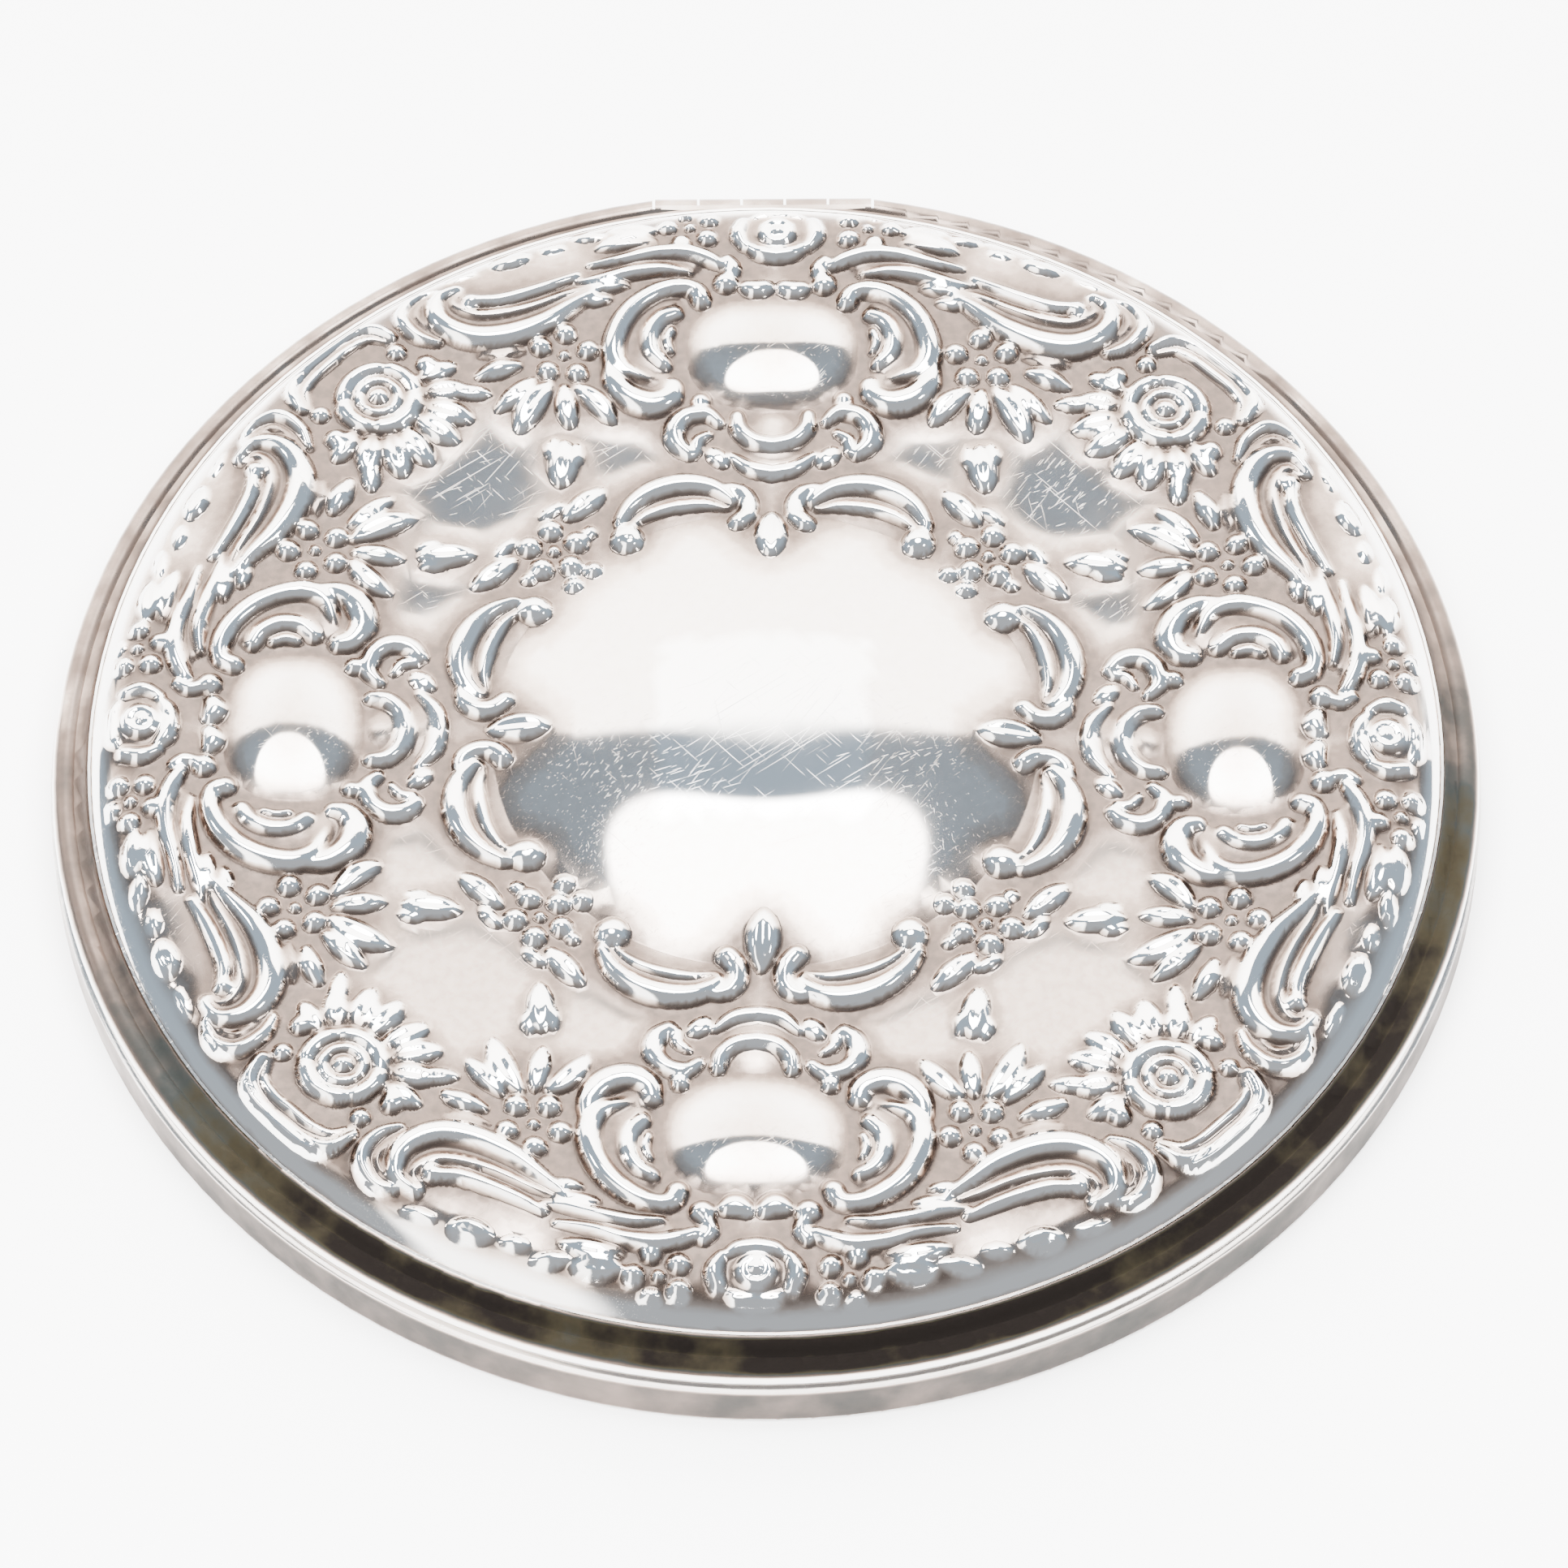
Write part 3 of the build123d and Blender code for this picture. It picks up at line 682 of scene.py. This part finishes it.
def chaseOneEighth():
    # the ornament between the +Y axis and the diagonal. The fold repeats it eight times
    # cushion of the medallion
    pad(0, 35.4, 6.9, 5.6, 1.0)
    # scrolls that frame the centre, hooked at one end and ending in a round bud
    press("scroll", [
        (3.5, 21.6, 0.9, 0.8), (4.9, 22.3, 1.5, 1.0), (6.8, 22.35, 1.8, 1.1), (8.7, 21.8, 1.7, 1.1),
        (10.3, 20.7, 1.35, 1.05), (11.3, 19.4, 0.95, 0.95),
    ])
    press("round", [
        (3.3, 22.9, 0.6, 0.75), (2.3, 22.5, 0.75, 0.85), (1.75, 21.5, 0.8, 0.9), (1.85, 20.4, 0.85, 0.95),
        (2.5, 19.6, 0.85, 0.9),
    ])
    bead(11.1, 17.8, 1.35, 1.05)
    leaf(0, 20.4, 0, 16.2, 1.0, 0.95)
    # blossom and leaves on the diagonal of the frame
    blossom(16.6, 16.6, 1.85, 0.95, 5, 0.157, 0.5)
    bead(13.6, 15.0, 0.75)
    bead(14.0, 18.4, 0.6)
    leaf(15.7, 19.6, 13.0, 22.4, 0.75)
    leaf(17.6, 19.6, 15.8, 21.0, 0.4, 0.6)
    # shell between the frame and the medallion
    press("round", [(0, 24.45, 0.7, 0.75), (1.8, 24.85, 0.68, 0.75), (3.3, 26.1, 0.3, 0.5)])
    press("round", [(0, 26.95, 0.72, 0.95), (1.5, 27.3, 0.72, 0.95), (2.6, 28.3, 0.7, 0.95), (2.8, 29.5, 0.6, 0.85)])
    press("pad", [(0, 27.6, 2.6, 0.35), (0, 26.4, 2.8, 0.35)])
    press("round", [
        (4.2, 29.0, 0.5, 0.7), (5.2, 29.8, 0.7, 0.85), (6.7, 29.5, 0.8, 0.9), (7.6, 28.3, 0.85, 0.9),
        (7.4, 26.9, 0.8, 0.85), (6.5, 26.0, 0.6, 0.7),
    ])
    bead(5.6, 30.9, 0.75, 0.85)
    press("round", [(5.0, 28.0, 0.35, 0.5), (5.9, 27.3, 0.5, 0.6), (5.9, 26.3, 0.4, 0.5)])
    leaf(3.7, 25.1, 5.0, 26.6, 0.6, 0.65)
    # the two scrolls down the medallion's side
    press("round", [
        (5.6, 40.2, 0.85, 1.0), (6.0, 41.1, 0.8, 1.0), (7.4, 41.3, 0.85, 1.1), (9.2, 40.6, 0.95, 1.15),
        (10.9, 39.1, 1.0, 1.2), (11.9, 37.2, 1.0, 1.2), (12.2, 35.2, 1.0, 1.15), (11.5, 33.7, 0.85, 1.0),
        (10.2, 33.0, 0.6, 0.85), (9.2, 32.7, 0.35, 0.6),
    ])
    press("round", [
        (12.5, 34.2, 0.5, 0.8), (12.1, 32.5, 0.95, 1.05), (10.9, 31.0, 1.2, 1.15), (9.2, 30.5, 1.2, 1.1),
        (7.9, 31.2, 1.0, 1.0), (7.6, 32.2, 0.8, 0.9),
    ])
    press("pad", [(8.4, 39.2, 1.6, 0.45), (9.8, 37.2, 2.0, 0.5), (9.8, 34.6, 2.0, 0.5), (8.8, 32.4, 1.4, 0.45)])
    press("round", [
        (7.5, 38.9, 0.65, 0.85), (8.6, 38.3, 0.75, 1.0), (9.35, 36.9, 0.78, 1.05), (9.2, 35.3, 0.75, 1.0),
        (8.3, 34.2, 0.65, 0.9),
    ])
    press("round", [(7.7, 37.4, 0.3, 0.8), (8.05, 36.4, 0.36, 0.85), (7.8, 35.4, 0.3, 0.8)])
    # crown of petals under the outer rose
    press("round", [(0.75, 41.6, 0.75, 0.8), (1.4, 41.3, 0.95, 0.9), (2.0, 41.5, 0.75, 0.8)])
    bead(3.75, 41.9, 1.0, 0.95)
    press("round", [(3.4, 42.7, 0.6, 0.8), (3.2, 43.5, 0.6, 0.8), (3.7, 44.3, 0.5, 0.7)])
    # outer rose: a coiled heart in a ring of petals
    press("pad", [(0, 46.9, 2.9, 0.5)])
    press("cup", [(0, 46.9, 1.45, 1.15)])
    bead(0.1, 46.8, 0.62, 1.15)
    press("round", [(0, 44.7, 0.75, 0.9), (1.3, 44.95, 0.7, 0.9), (2.1, 45.6, 0.35, 0.7)])
    press("round", [(2.45, 45.5, 0.45, 0.75), (3.0, 46.8, 0.7, 0.9), (2.7, 48.1, 0.6, 0.8)])
    press("round", [(0, 49.1, 0.6, 0.75), (1.1, 49.0, 0.55, 0.75), (1.9, 48.6, 0.35, 0.6)])
    blossom(6.9, 47.4, 1.8, 0.88, 5, 0.0, 0.5)
    leaf(9.7, 46.9, 13.4, 46.9, 0.8)
    leaf(9.6, 45.7, 14.2, 44.9, 0.75, bend=0.06)
    leaf(13.3, 46.3, 16.4, 46.4, 0.5, 0.65)
    # short acanthus over the medallion's shoulder
    press("round", [
        (4.2, 43.6, 0.5, 0.8), (5.2, 44.2, 0.75, 1.0), (7.0, 44.7, 0.8, 1.1), (9.4, 44.55, 0.72, 1.05),
        (12.0, 43.8, 0.55, 0.9), (14.6, 43.3, 0.25, 0.6),
    ])
    press("pad", [(6.4, 43.5, 0.9, 0.4), (10.6, 43.3, 0.8, 0.4)])
    press("round", [
        (6.6, 42.7, 0.35, 0.7), (8.8, 42.95, 0.62, 0.95), (11.2, 42.6, 0.68, 0.95), (13.4, 42.1, 0.45, 0.75),
        (15.6, 41.6, 0.2, 0.5),
    ])
    leaf(11.4, 41.4, 14.8, 41.3, 0.55, 0.8)
    leaf(12.6, 40.2, 14.9, 39.7, 0.45, 0.7)
    # long acanthus scroll towards the diagonal
    press("scroll", [
        (14.0, 41.0, 0.5, 0.7), (15.9, 39.8, 1.15, 1.0), (18.2, 38.2, 1.7, 1.15), (20.8, 37.1, 2.0, 1.2),
        (23.2, 36.9, 2.0, 1.2), (25.1, 37.9, 1.7, 1.15), (25.6, 39.5, 1.1, 1.05), (24.6, 40.6, 0.7, 0.9),
    ])
    press("round", [
        (15.4, 42.4, 0.3, 0.6), (17.2, 41.4, 0.5, 0.8), (19.4, 40.4, 0.62, 0.9), (21.4, 39.7, 0.66, 0.95),
        (23.0, 39.6, 0.6, 0.95),
    ])
    bead(23.4, 39.5, 0.85, 1.0)
    press("scroll", [
        (25.9, 35.7, 0.6, 0.8), (27.3, 36.5, 1.0, 1.0), (28.3, 38.1, 1.15, 1.1), (27.6, 39.8, 0.9, 1.0),
        (26.2, 40.5, 0.5, 0.8),
    ])
    # spray of a blossom and leaves
    blossom(16.1, 34.8, 2.0, 0.92, 5, 1.6, 0.45)
    leaf(15.0, 31.8, 12.2, 28.7, 0.8, bend=-0.08)
    leaf(16.0, 31.8, 15.5, 28.0, 0.7)
    leaf(17.1, 31.9, 19.4, 27.4, 0.9, bend=0.06)
    leaf(18.4, 32.3, 21.2, 29.2, 0.65)
    press("round", [(19.8, 33.6, 0.5, 0.6), (21.2, 33.1, 0.9, 0.85), (22.6, 32.4, 0.45, 0.5)])
    leaf(19.2, 35.0, 23.0, 34.3, 0.5, 0.65)
    leaf(21.9, 30.8, 25.2, 30.9, 0.6, 0.7)
    # lone bud in the open ground
    leaf(15.8, 26.4, 16.2, 22.5, 0.85, 0.85)
    press("round", [(14.9, 26.3, 0.3, 0.4), (14.9, 25.2, 0.42, 0.5), (15.4, 24.2, 0.25, 0.35)])
    press("round", [(16.6, 26.7, 0.3, 0.4), (17.0, 25.8, 0.4, 0.5), (16.8, 24.9, 0.25, 0.35)])
    # rose on the diagonal with its fringe of leaves, and the scroll round its corner
    press("pad", [(30.2, 30.2, 3.2, 0.5)])
    bead(30.2, 30.2, 0.8, 1.2)
    # petals are arcs about the heart: from angle, to angle, radius, half width
    for low, high, reach, wide in (
        (45, 118, 1.5, 0.42),
        (140, 225, 1.5, 0.42),
        (45, 88, 2.7, 0.72),
        (108, 160, 2.75, 0.75),
        (182, 225, 2.7, 0.78),
    ):
        turns = np.radians(np.linspace(low, high, 5))
        press("round", [(30.2 + reach * math.cos(t), 30.2 + reach * math.sin(t), wide, 1.0) for t in turns])
    for degrees, reach, wide in ((150, 6.6, 0.7), (172, 6.8, 0.85), (194, 7.2, 0.9), (213, 7.0, 0.8)):
        angle = math.radians(degrees)
        outX, outY = math.cos(angle), math.sin(angle)
        leaf(30.2 + 3.5 * outX, 30.2 + 3.5 * outY, 30.2 + reach * outX, 30.2 + reach * outY, wide)
    bead(26.6, 33.4, 0.9)
    bead(28.9, 34.6, 0.8)
    press("scroll", [
        (29.6, 36.0, 0.7, 0.8), (31.3, 36.6, 1.1, 1.0), (33.1, 35.8, 1.3, 1.15), (34.5, 34.5, 1.35, 1.2),
        (35.8, 33.1, 1.3, 1.15),
    ])
    # buds and sprigs by the edge
    leaf(19.4, 44.4, 22.2, 43.6, 0.75, 0.75)
    leaf(16.6, 45.2, 18.6, 44.9, 0.4, 0.5)
    press("round", [(23.4, 42.9, 0.3, 0.35), (24.6, 42.4, 0.4, 0.45), (25.6, 42.0, 0.25, 0.3)])


chaseOneEighth()


def softened(field, sigma):
    # gaussian blur of a map, by multiplying its Fourier transform by the bell curve's
    rows, columns = field.shape
    fy = np.fft.fftfreq(rows, cell)[:, None]
    fx = np.fft.rfftfreq(columns, cell)[None, :]
    return np.fft.irfft2(np.fft.rfft2(field) * np.exp(-2 * (math.pi * sigma) ** 2 * (fx**2 + fy**2)), s=field.shape)


relief = softened(relief, 0.2) * 0.95
apron = softened(relief, 1.1) * 0.35
chased = np.maximum(relief, apron) * 0.75 + (relief + apron) * 0.25
recessMap = np.clip((1.1 * softened(relief, 1.2) + 0.05 - relief) / 0.32, 0, 1)
print("relief pressed", relief.shape, round(float(relief.max()), 2))


def fromMap(field, x, y):
    # folds points into the worked eighth and reads the map there, bilinearly
    c, s = math.cos(-lidSet["turn"]), math.sin(-lidSet["turn"])
    px, py = np.abs(c * x - s * y), np.abs(s * x + c * y)
    low, high = np.minimum(px, py), np.maximum(px, py)
    column = np.clip((low - mapLeft) / cell, 0, len(mapX) - 1.001)
    row = np.clip((high - mapLow) / cell, 0, len(mapY) - 1.001)
    i, j = column.astype(int), row.astype(int)
    u, v = column - i, row - j
    lower = field[j, i] * (1 - u) * (1 - v) + field[j, i + 1] * u * (1 - v)
    value = lower + field[j + 1, i] * (1 - u) * v + field[j + 1, i + 1] * u * v
    return np.where(high > mapLow, value, 0)


def ground(r):
    # height of the plain dome at r: a level top with a centre pillow and a raised outer band, times a square shoulder
    t = np.clip((r - 21.5) / 21.5, 0, 1)
    level = lidSet["top"] + lidSet["dish"] * t * t * (3 - 2 * t)
    level = level + lidSet["pillow"] * np.clip(1 - (r / lidSet["pillowRadius"]) ** 3, 0, 1)
    u = np.clip((r - lidSet["rollFrom"]) / (lidSet["radius"] - lidSet["rollFrom"]), 0, 1)
    return level - (level - lidSet["foot"]) * u ** lidSet["roll"]


profileR = np.linspace(0, lidSet["radius"], 8001)
profileZ = ground(profileR)
profileS = np.concatenate([[0], np.cumsum(np.hypot(np.diff(profileR), np.diff(profileZ)))])
outerS = profileS[-1]


def wobble(x, y):
    # slow, slight hand-made unevenness of the chasing, in mm
    return (
        x + 0.16 * np.sin(0.19 * y + 0.9) + 0.1 * np.sin(0.31 * x - 0.23 * y),
        y + 0.16 * np.sin(0.17 * x + 2.1) + 0.1 * np.sin(0.27 * y + 0.21 * x + 1.3),
    )


def lidPoint(a, b):
    # a point of the lid's outside from flat coordinates (a, b) whose length is the distance walked along the profile
    s = np.hypot(a, b)
    r = np.interp(s, profileS, profileR)
    z = np.interp(s, profileS, profileZ)
    share = np.where(s > 1e-9, r / np.maximum(s, 1e-9), 1.0)
    x, y = a * share, b * share
    wx, wy = wobble(x, y)
    fade = np.clip((outerS - s - 1.2) / 1.5, 0, 1)
    return np.stack([x, y, z + fromMap(chased, wx, wy) * fade * fade * (3 - 2 * fade)], -1)


def discGrid(count, radius):
    # square grid points moved onto a disc, rings of squares becoming circles, and the boundary's indices in order
    u, v = np.meshgrid(np.linspace(-1, 1, count), np.linspace(-1, 1, count), indexing="ij")
    big = np.maximum(np.abs(u), np.abs(v))
    wide = np.abs(u) >= np.abs(v)
    angle = np.where(wide, np.pi / 4 * v / np.where(u == 0, 1, u), np.pi / 2 - np.pi / 4 * u / np.where(v == 0, 1, v))
    sign = np.where(wide, np.sign(u), np.sign(v))
    a, b = radius * big * sign * np.cos(angle), radius * big * sign * np.sin(angle)
    index = np.arange(count * count).reshape(count, count)
    loop = np.concatenate([index[:-1, 0], index[-1, :-1], index[:0:-1, -1], index[0, :0:-1]])
    quads = np.stack([index[:-1, :-1], index[1:, :-1], index[1:, 1:], index[:-1, 1:]], -1).reshape(-1, 4)
    return a.ravel(), b.ravel(), quads, loop


def meshFrom(name, points, quads, triangles=None):
    # a mesh object from arrays in mm, written with foreach_set
    mesh = bpy.data.meshes.new(name)
    triangles = np.zeros((0, 3), int) if triangles is None else triangles
    corners = np.concatenate([quads.ravel(), triangles.ravel()]).astype(np.int32)
    sizes = np.concatenate([np.full(len(quads), 4), np.full(len(triangles), 3)])
    mesh.vertices.add(len(points))
    mesh.vertices.foreach_set("co", (points * mm).astype(np.float32).ravel())
    mesh.loops.add(len(corners))
    mesh.loops.foreach_set("vertex_index", corners)
    mesh.polygons.add(len(sizes))
    mesh.polygons.foreach_set("loop_start", np.concatenate([[0], np.cumsum(sizes)[:-1]]).astype(np.int32))
    mesh.update(calc_edges=True)
    mesh.validate()
    mesh.polygons.foreach_set("use_smooth", np.ones(len(sizes), bool))
    thing = bpy.data.objects.new(name, mesh)
    bpy.context.scene.collection.objects.link(thing)
    return thing


def ringStrips(loops):
    # quads between consecutive closed loops of the same length
    strips = []
    for lower, upper in zip(loops[:-1], loops[1:]):
        strips.append(np.stack([lower, np.roll(lower, -1), np.roll(upper, -1), upper], -1))
    return np.concatenate(strips)


def makeLidShell():
    # the stamped sheet: chased outside, a plain inside one sheet lower, joined round the bottom edge, then thinned
    a, b, quads, loop = discGrid(lidSet["grid"], outerS)
    top = lidPoint(a, b)
    edge = np.arctan2(top[loop, 1], top[loop, 0])
    inner = lidSet["radius"] - lidSet["sheet"]
    rings = [(lidSet["radius"], lidSet["bottom"]), (inner, lidSet["bottom"]), (inner, lidSet["foot"])]
    for share in (0.9985, 0.994, 0.985, 0.965, 0.93, 0.86, 0.7, 0.45, 0.2):
        rings.append((inner * share, float(ground(np.array(lidSet["radius"] * share))) - lidSet["sheet"]))
    points = [top]
    loops = [loop]
    start = len(top)
    for r, z in rings:
        points.append(np.stack([r * np.cos(edge), r * np.sin(edge), np.full(len(edge), z)], -1))
        loops.append(np.arange(start, start + len(edge)))
        start += len(edge)
    points.append(np.array([[0, 0, lidSet["top"] - lidSet["sheet"]]]))
    strips = ringStrips(loops)[:, ::-1]
    last = loops[-1]
    fan = np.stack([np.roll(last, -1), last, np.full(len(last), start)], -1)
    if signedTurn(top, quads) < 0:
        quads = quads[:, ::-1]
    if loopTurn(top[loop]) < 0:
        strips, fan = strips[:, ::-1], fan[:, ::-1]
    dense = meshFrom("lidDense", np.concatenate(points), np.concatenate([quads, strips]), fan)
    thin = dense.modifiers.new("thin", "DECIMATE")
    thin.ratio = lidSet["keep"]
    mesh = bpy.data.meshes.new_from_object(dense.evaluated_get(bpy.context.evaluated_depsgraph_get()))
    bpy.data.objects.remove(dense)
    mesh.name = "lid_dome"
    shell = bpy.data.objects.new("lid_dome", mesh)
    bpy.context.scene.collection.objects.link(shell)
    return shell


def signedTurn(points, quads):
    # positive when the quads wind so that they face up
    one = points[quads[len(quads) // 2]]
    return float(np.cross(one[1] - one[0], one[2] - one[0])[2])


def loopTurn(points):
    # positive when a closed loop runs anticlockwise seen from above
    x, y = points[:, 0], points[:, 1]
    return float(np.sum(x * np.roll(y, -1) - y * np.roll(x, -1)))


def dressLid(shell):
    # exact normals from the surface's own slope, and the recess attribute that the tarnish follows
    mesh = shell.data
    count = len(mesh.vertices)
    at = np.zeros(count * 3, np.float32)
    mesh.vertices.foreach_get("co", at)
    at = at.reshape(-1, 3).astype(float) / mm
    r = np.hypot(at[:, 0], at[:, 1])
    # flat coordinate s: by radius on the top, by nearest profile point on the shoulder
    s = np.interp(r, profileR, profileS)
    steep = np.where(r > 49.0)[0]
    fine = slice(int(np.searchsorted(profileR, 48.5)), None)
    if len(steep):
        gap = (r[steep, None] - profileR[None, fine][:, ::4]) ** 2 + (at[steep, 2][:, None] - profileZ[None, fine][:, ::4]) ** 2
        s[steep] = profileS[fine][::4][np.argmin(gap, 1)]
    share = s / np.maximum(r, 1e-6)
    a, b = at[:, 0] * share, at[:, 1] * share
    step = 0.05
    da = lidPoint(a + step, b) - lidPoint(a - step, b)
    db = lidPoint(a, b + step) - lidPoint(a, b - step)
    exact = np.cross(da, db)
    exact /= np.maximum(np.linalg.norm(exact, axis=1, keepdims=True), 1e-12)
    outside = (at[:, 2] > lidSet["foot"] + 0.02) & (at[:, 2] > ground(np.minimum(r, lidSet["radius"] - 0.002)) - 0.3)
    # loops on the outside take the exact normal, all others their face's own
    loopVertex = np.zeros(len(mesh.loops), np.int32)
    mesh.loops.foreach_get("vertex_index", loopVertex)
    faceNormal = np.zeros(len(mesh.polygons) * 3, np.float32)
    mesh.polygons.foreach_get("normal", faceNormal)
    faceNormal = faceNormal.reshape(-1, 3)
    total = np.zeros(len(mesh.polygons), np.int32)
    mesh.polygons.foreach_get("loop_total", total)
    perLoop = np.repeat(faceNormal, total, axis=0).astype(float)
    agrees = np.einsum("ij,ij->i", perLoop, exact[loopVertex]) > 0.1
    perLoop = np.where((outside[loopVertex] & agrees)[:, None], exact[loopVertex], perLoop)
    mesh.normals_split_custom_set(perLoop.tolist())
    wx, wy = wobble(at[:, 0], at[:, 1])
    # the open ground outside the centre keeps a thin film too, made thicker towards the front (−Y) as painted shade
    southShade = np.clip(0.5 - at[:, 1] / 24, 0, 1)
    plain = np.clip((r - 19.5) / 3.0, 0, 1) * np.clip((47.0 - r) / 4.0, 0, 1)
    thin = (0.1 + 0.33 * southShade) * plain * (fromMap(chased, wx, wy) < 0.2)
    recess = np.maximum(fromMap(recessMap, wx, wy) * np.clip((50.0 - r) / 1.2, 0, 1), thin)
    layer = mesh.attributes.new("recess", "FLOAT", "POINT")
    layer.data.foreach_set("value", np.where(outside, recess, 0.25).astype(np.float32))
    print("lid shell", count, "points", len(mesh.polygons), "faces")


lidDome = makeLidShell()
dressLid(lidDome)
lidDome.data.materials.append(silverLid)
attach(lidDome, "lid")
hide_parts("lid_shell")
print("lid chased")

# the puff and its ribbon
puffSet = {"radius": 31.0, "bottom": 3.62, "top": 5.35, "roll": 0.55, "voxel": 1.1, "cap": 0.12, "spokes": 96}
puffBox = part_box("powder_puff")


def lathe(name, outline, spokes):
    # turns an (r, z) outline round +Z. Points at r = 0 become single poles
    angle = np.linspace(0, 2 * np.pi, spokes, endpoint=False)
    outline = np.asarray(outline, float)
    inner = outline[1:-1]
    ringX, ringY = np.outer(inner[:, 0], np.cos(angle)), np.outer(inner[:, 0], np.sin(angle))
    points = np.stack([ringX, ringY, np.repeat(inner[:, 1:], spokes, 1)], -1)
    rows = np.arange(len(inner) * spokes).reshape(len(inner), spokes)
    quads = ringStrips(list(rows))
    first, last = len(inner) * spokes, len(inner) * spokes + 1
    fans = np.concatenate([
        np.stack([np.roll(rows[0], -1), rows[0], np.full(spokes, first)], -1),
        np.stack([rows[-1], np.roll(rows[-1], -1), np.full(spokes, last)], -1),
    ])
    poles = np.array([[0, 0, outline[0, 1]], [0, 0, outline[-1, 1]]])
    return meshFrom(name, np.concatenate([points.reshape(-1, 3), poles]), quads, fans)


def makePuff():
    # a thin stuffed pad: rounded outline, swollen by cloth pressure, each point's travel capped
    low, high, wide, roll = puffSet["bottom"], puffSet["top"], puffSet["radius"], puffSet["roll"]
    turnIn = np.linspace(-np.pi / 2, np.pi / 2, 9)
    middle = (low + high) / 2
    half = (high - low) / 2
    outline = [(0, low)] + [(r, low) for r in np.linspace(3, wide - 1, 12)]
    outline += [(wide - roll + roll * math.cos(t), middle + half * math.sin(t)) for t in turnIn[1:-1]]
    outline += [(r, high) for r in np.linspace(wide - 1, 3, 12)] + [(0, high)]
    puff = lathe("velour_puff", outline, puffSet["spokes"])
    remesh = puff.modifiers.new("even", "REMESH")
    remesh.mode = "VOXEL"
    remesh.voxel_size = puffSet["voxel"] * 0.6 * mm
    bpy.context.view_layer.objects.active = puff
    with bpy.context.temp_override(object=puff, active_object=puff):
        bpy.ops.object.modifier_apply(modifier="even")
    before = np.zeros(len(puff.data.vertices) * 3, np.float32)
    puff.data.vertices.foreach_get("co", before)
    cloth = puff.modifiers.new("stuffing", "CLOTH")
    cloth.settings.use_pressure = True
    cloth.settings.uniform_pressure_force = 4.0
    cloth.settings.effector_weights.gravity = 0.0
    cloth.settings.quality = 5
    cloth.point_cache.frame_start = 1
    cloth.point_cache.frame_end = 20
    scene = bpy.context.scene
    for number in range(1, 21):
        scene.frame_set(number)
    swollen = puff.evaluated_get(bpy.context.evaluated_depsgraph_get()).data
    after = np.zeros(len(swollen.vertices) * 3, np.float32)
    swollen.vertices.foreach_get("co", after)
    puff.modifiers.remove(cloth)
    scene.frame_set(1)
    move = (after - before).reshape(-1, 3)
    reach = np.linalg.norm(move, axis=1, keepdims=True)
    limit = puffSet["cap"] * mm
    move *= np.minimum(1, limit / np.maximum(reach, 1e-9))
    at = before.reshape(-1, 3) + move
    # a stitched ring dimples the top near its edge
    r = np.hypot(at[:, 0], at[:, 1]) / mm
    onTop = at[:, 2] > middle * mm
    at[:, 2] -= np.where(onTop, 0.12 * mm * np.exp(-(((r - 27.5) / 0.7) ** 2)), 0)
    at[:, 2] = np.clip(at[:, 2], puffBox[0][2] + 0.00002, puffBox[1][2] - 0.00003)
    puff.data.vertices.foreach_set("co", at.ravel())
    puff.data.update()
    return puff


puff = makePuff()
puff.data.materials.append(makeVelour())
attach(puff, "base")
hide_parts("powder_puff")

ribbonSet = {"half": 30.2, "wide": 11.0, "thick": 0.14, "low": 5.58}


def makeRibbon():
    # a flat, slightly rippled band across the puff, a little narrower in the middle, with rounded selvedges
    lengthwise = np.linspace(-1, 1, 81)
    sideways = np.linspace(-1, 1, 17)
    u, v = np.meshgrid(lengthwise, sideways, indexing="ij")
    x = u * ribbonSet["half"]
    y = v * ribbonSet["wide"] / 2 * (1 - 0.05 * np.cos(u * np.pi))
    ripple = 0.02 * np.sin(u * 9 + v * 2) + 0.015 * np.sin(v * 7 - u * 3)
    low = ribbonSet["low"] + ripple + 0.02
    edge = np.sqrt(np.clip(1 - np.abs(v) ** 8, 0, 1))
    points = np.stack([x, y, low + ribbonSet["thick"] * 0.5 * edge], -1)
    under = np.stack([x, y, low - ribbonSet["thick"] * 0.5 * edge - 0.005], -1)
    index = np.arange(u.size).reshape(u.shape)
    face = np.stack([index[:-1, :-1], index[1:, :-1], index[1:, 1:], index[:-1, 1:]], -1).reshape(-1, 4)
    rim = np.concatenate([index[:-1, 0], index[-1, :-1], index[:0:-1, -1], index[0, :0:-1]])
    side = ringStrips([rim + u.size, rim])
    points = np.concatenate([points.reshape(-1, 3), under.reshape(-1, 3)])
    return meshFrom("puff_band", points, np.concatenate([face, face[:, ::-1] + u.size, side]))


ribbon = makeRibbon()
ribbon.data.materials.append(makeWeave("ribbonSatin", (0.80, 0.47, 0.46), (0.55, 0.27, 0.28), 5200.0, 0.38, sheen=0.5))
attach(ribbon, "base")
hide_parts("puff_ribbon")
print("puff and ribbon")
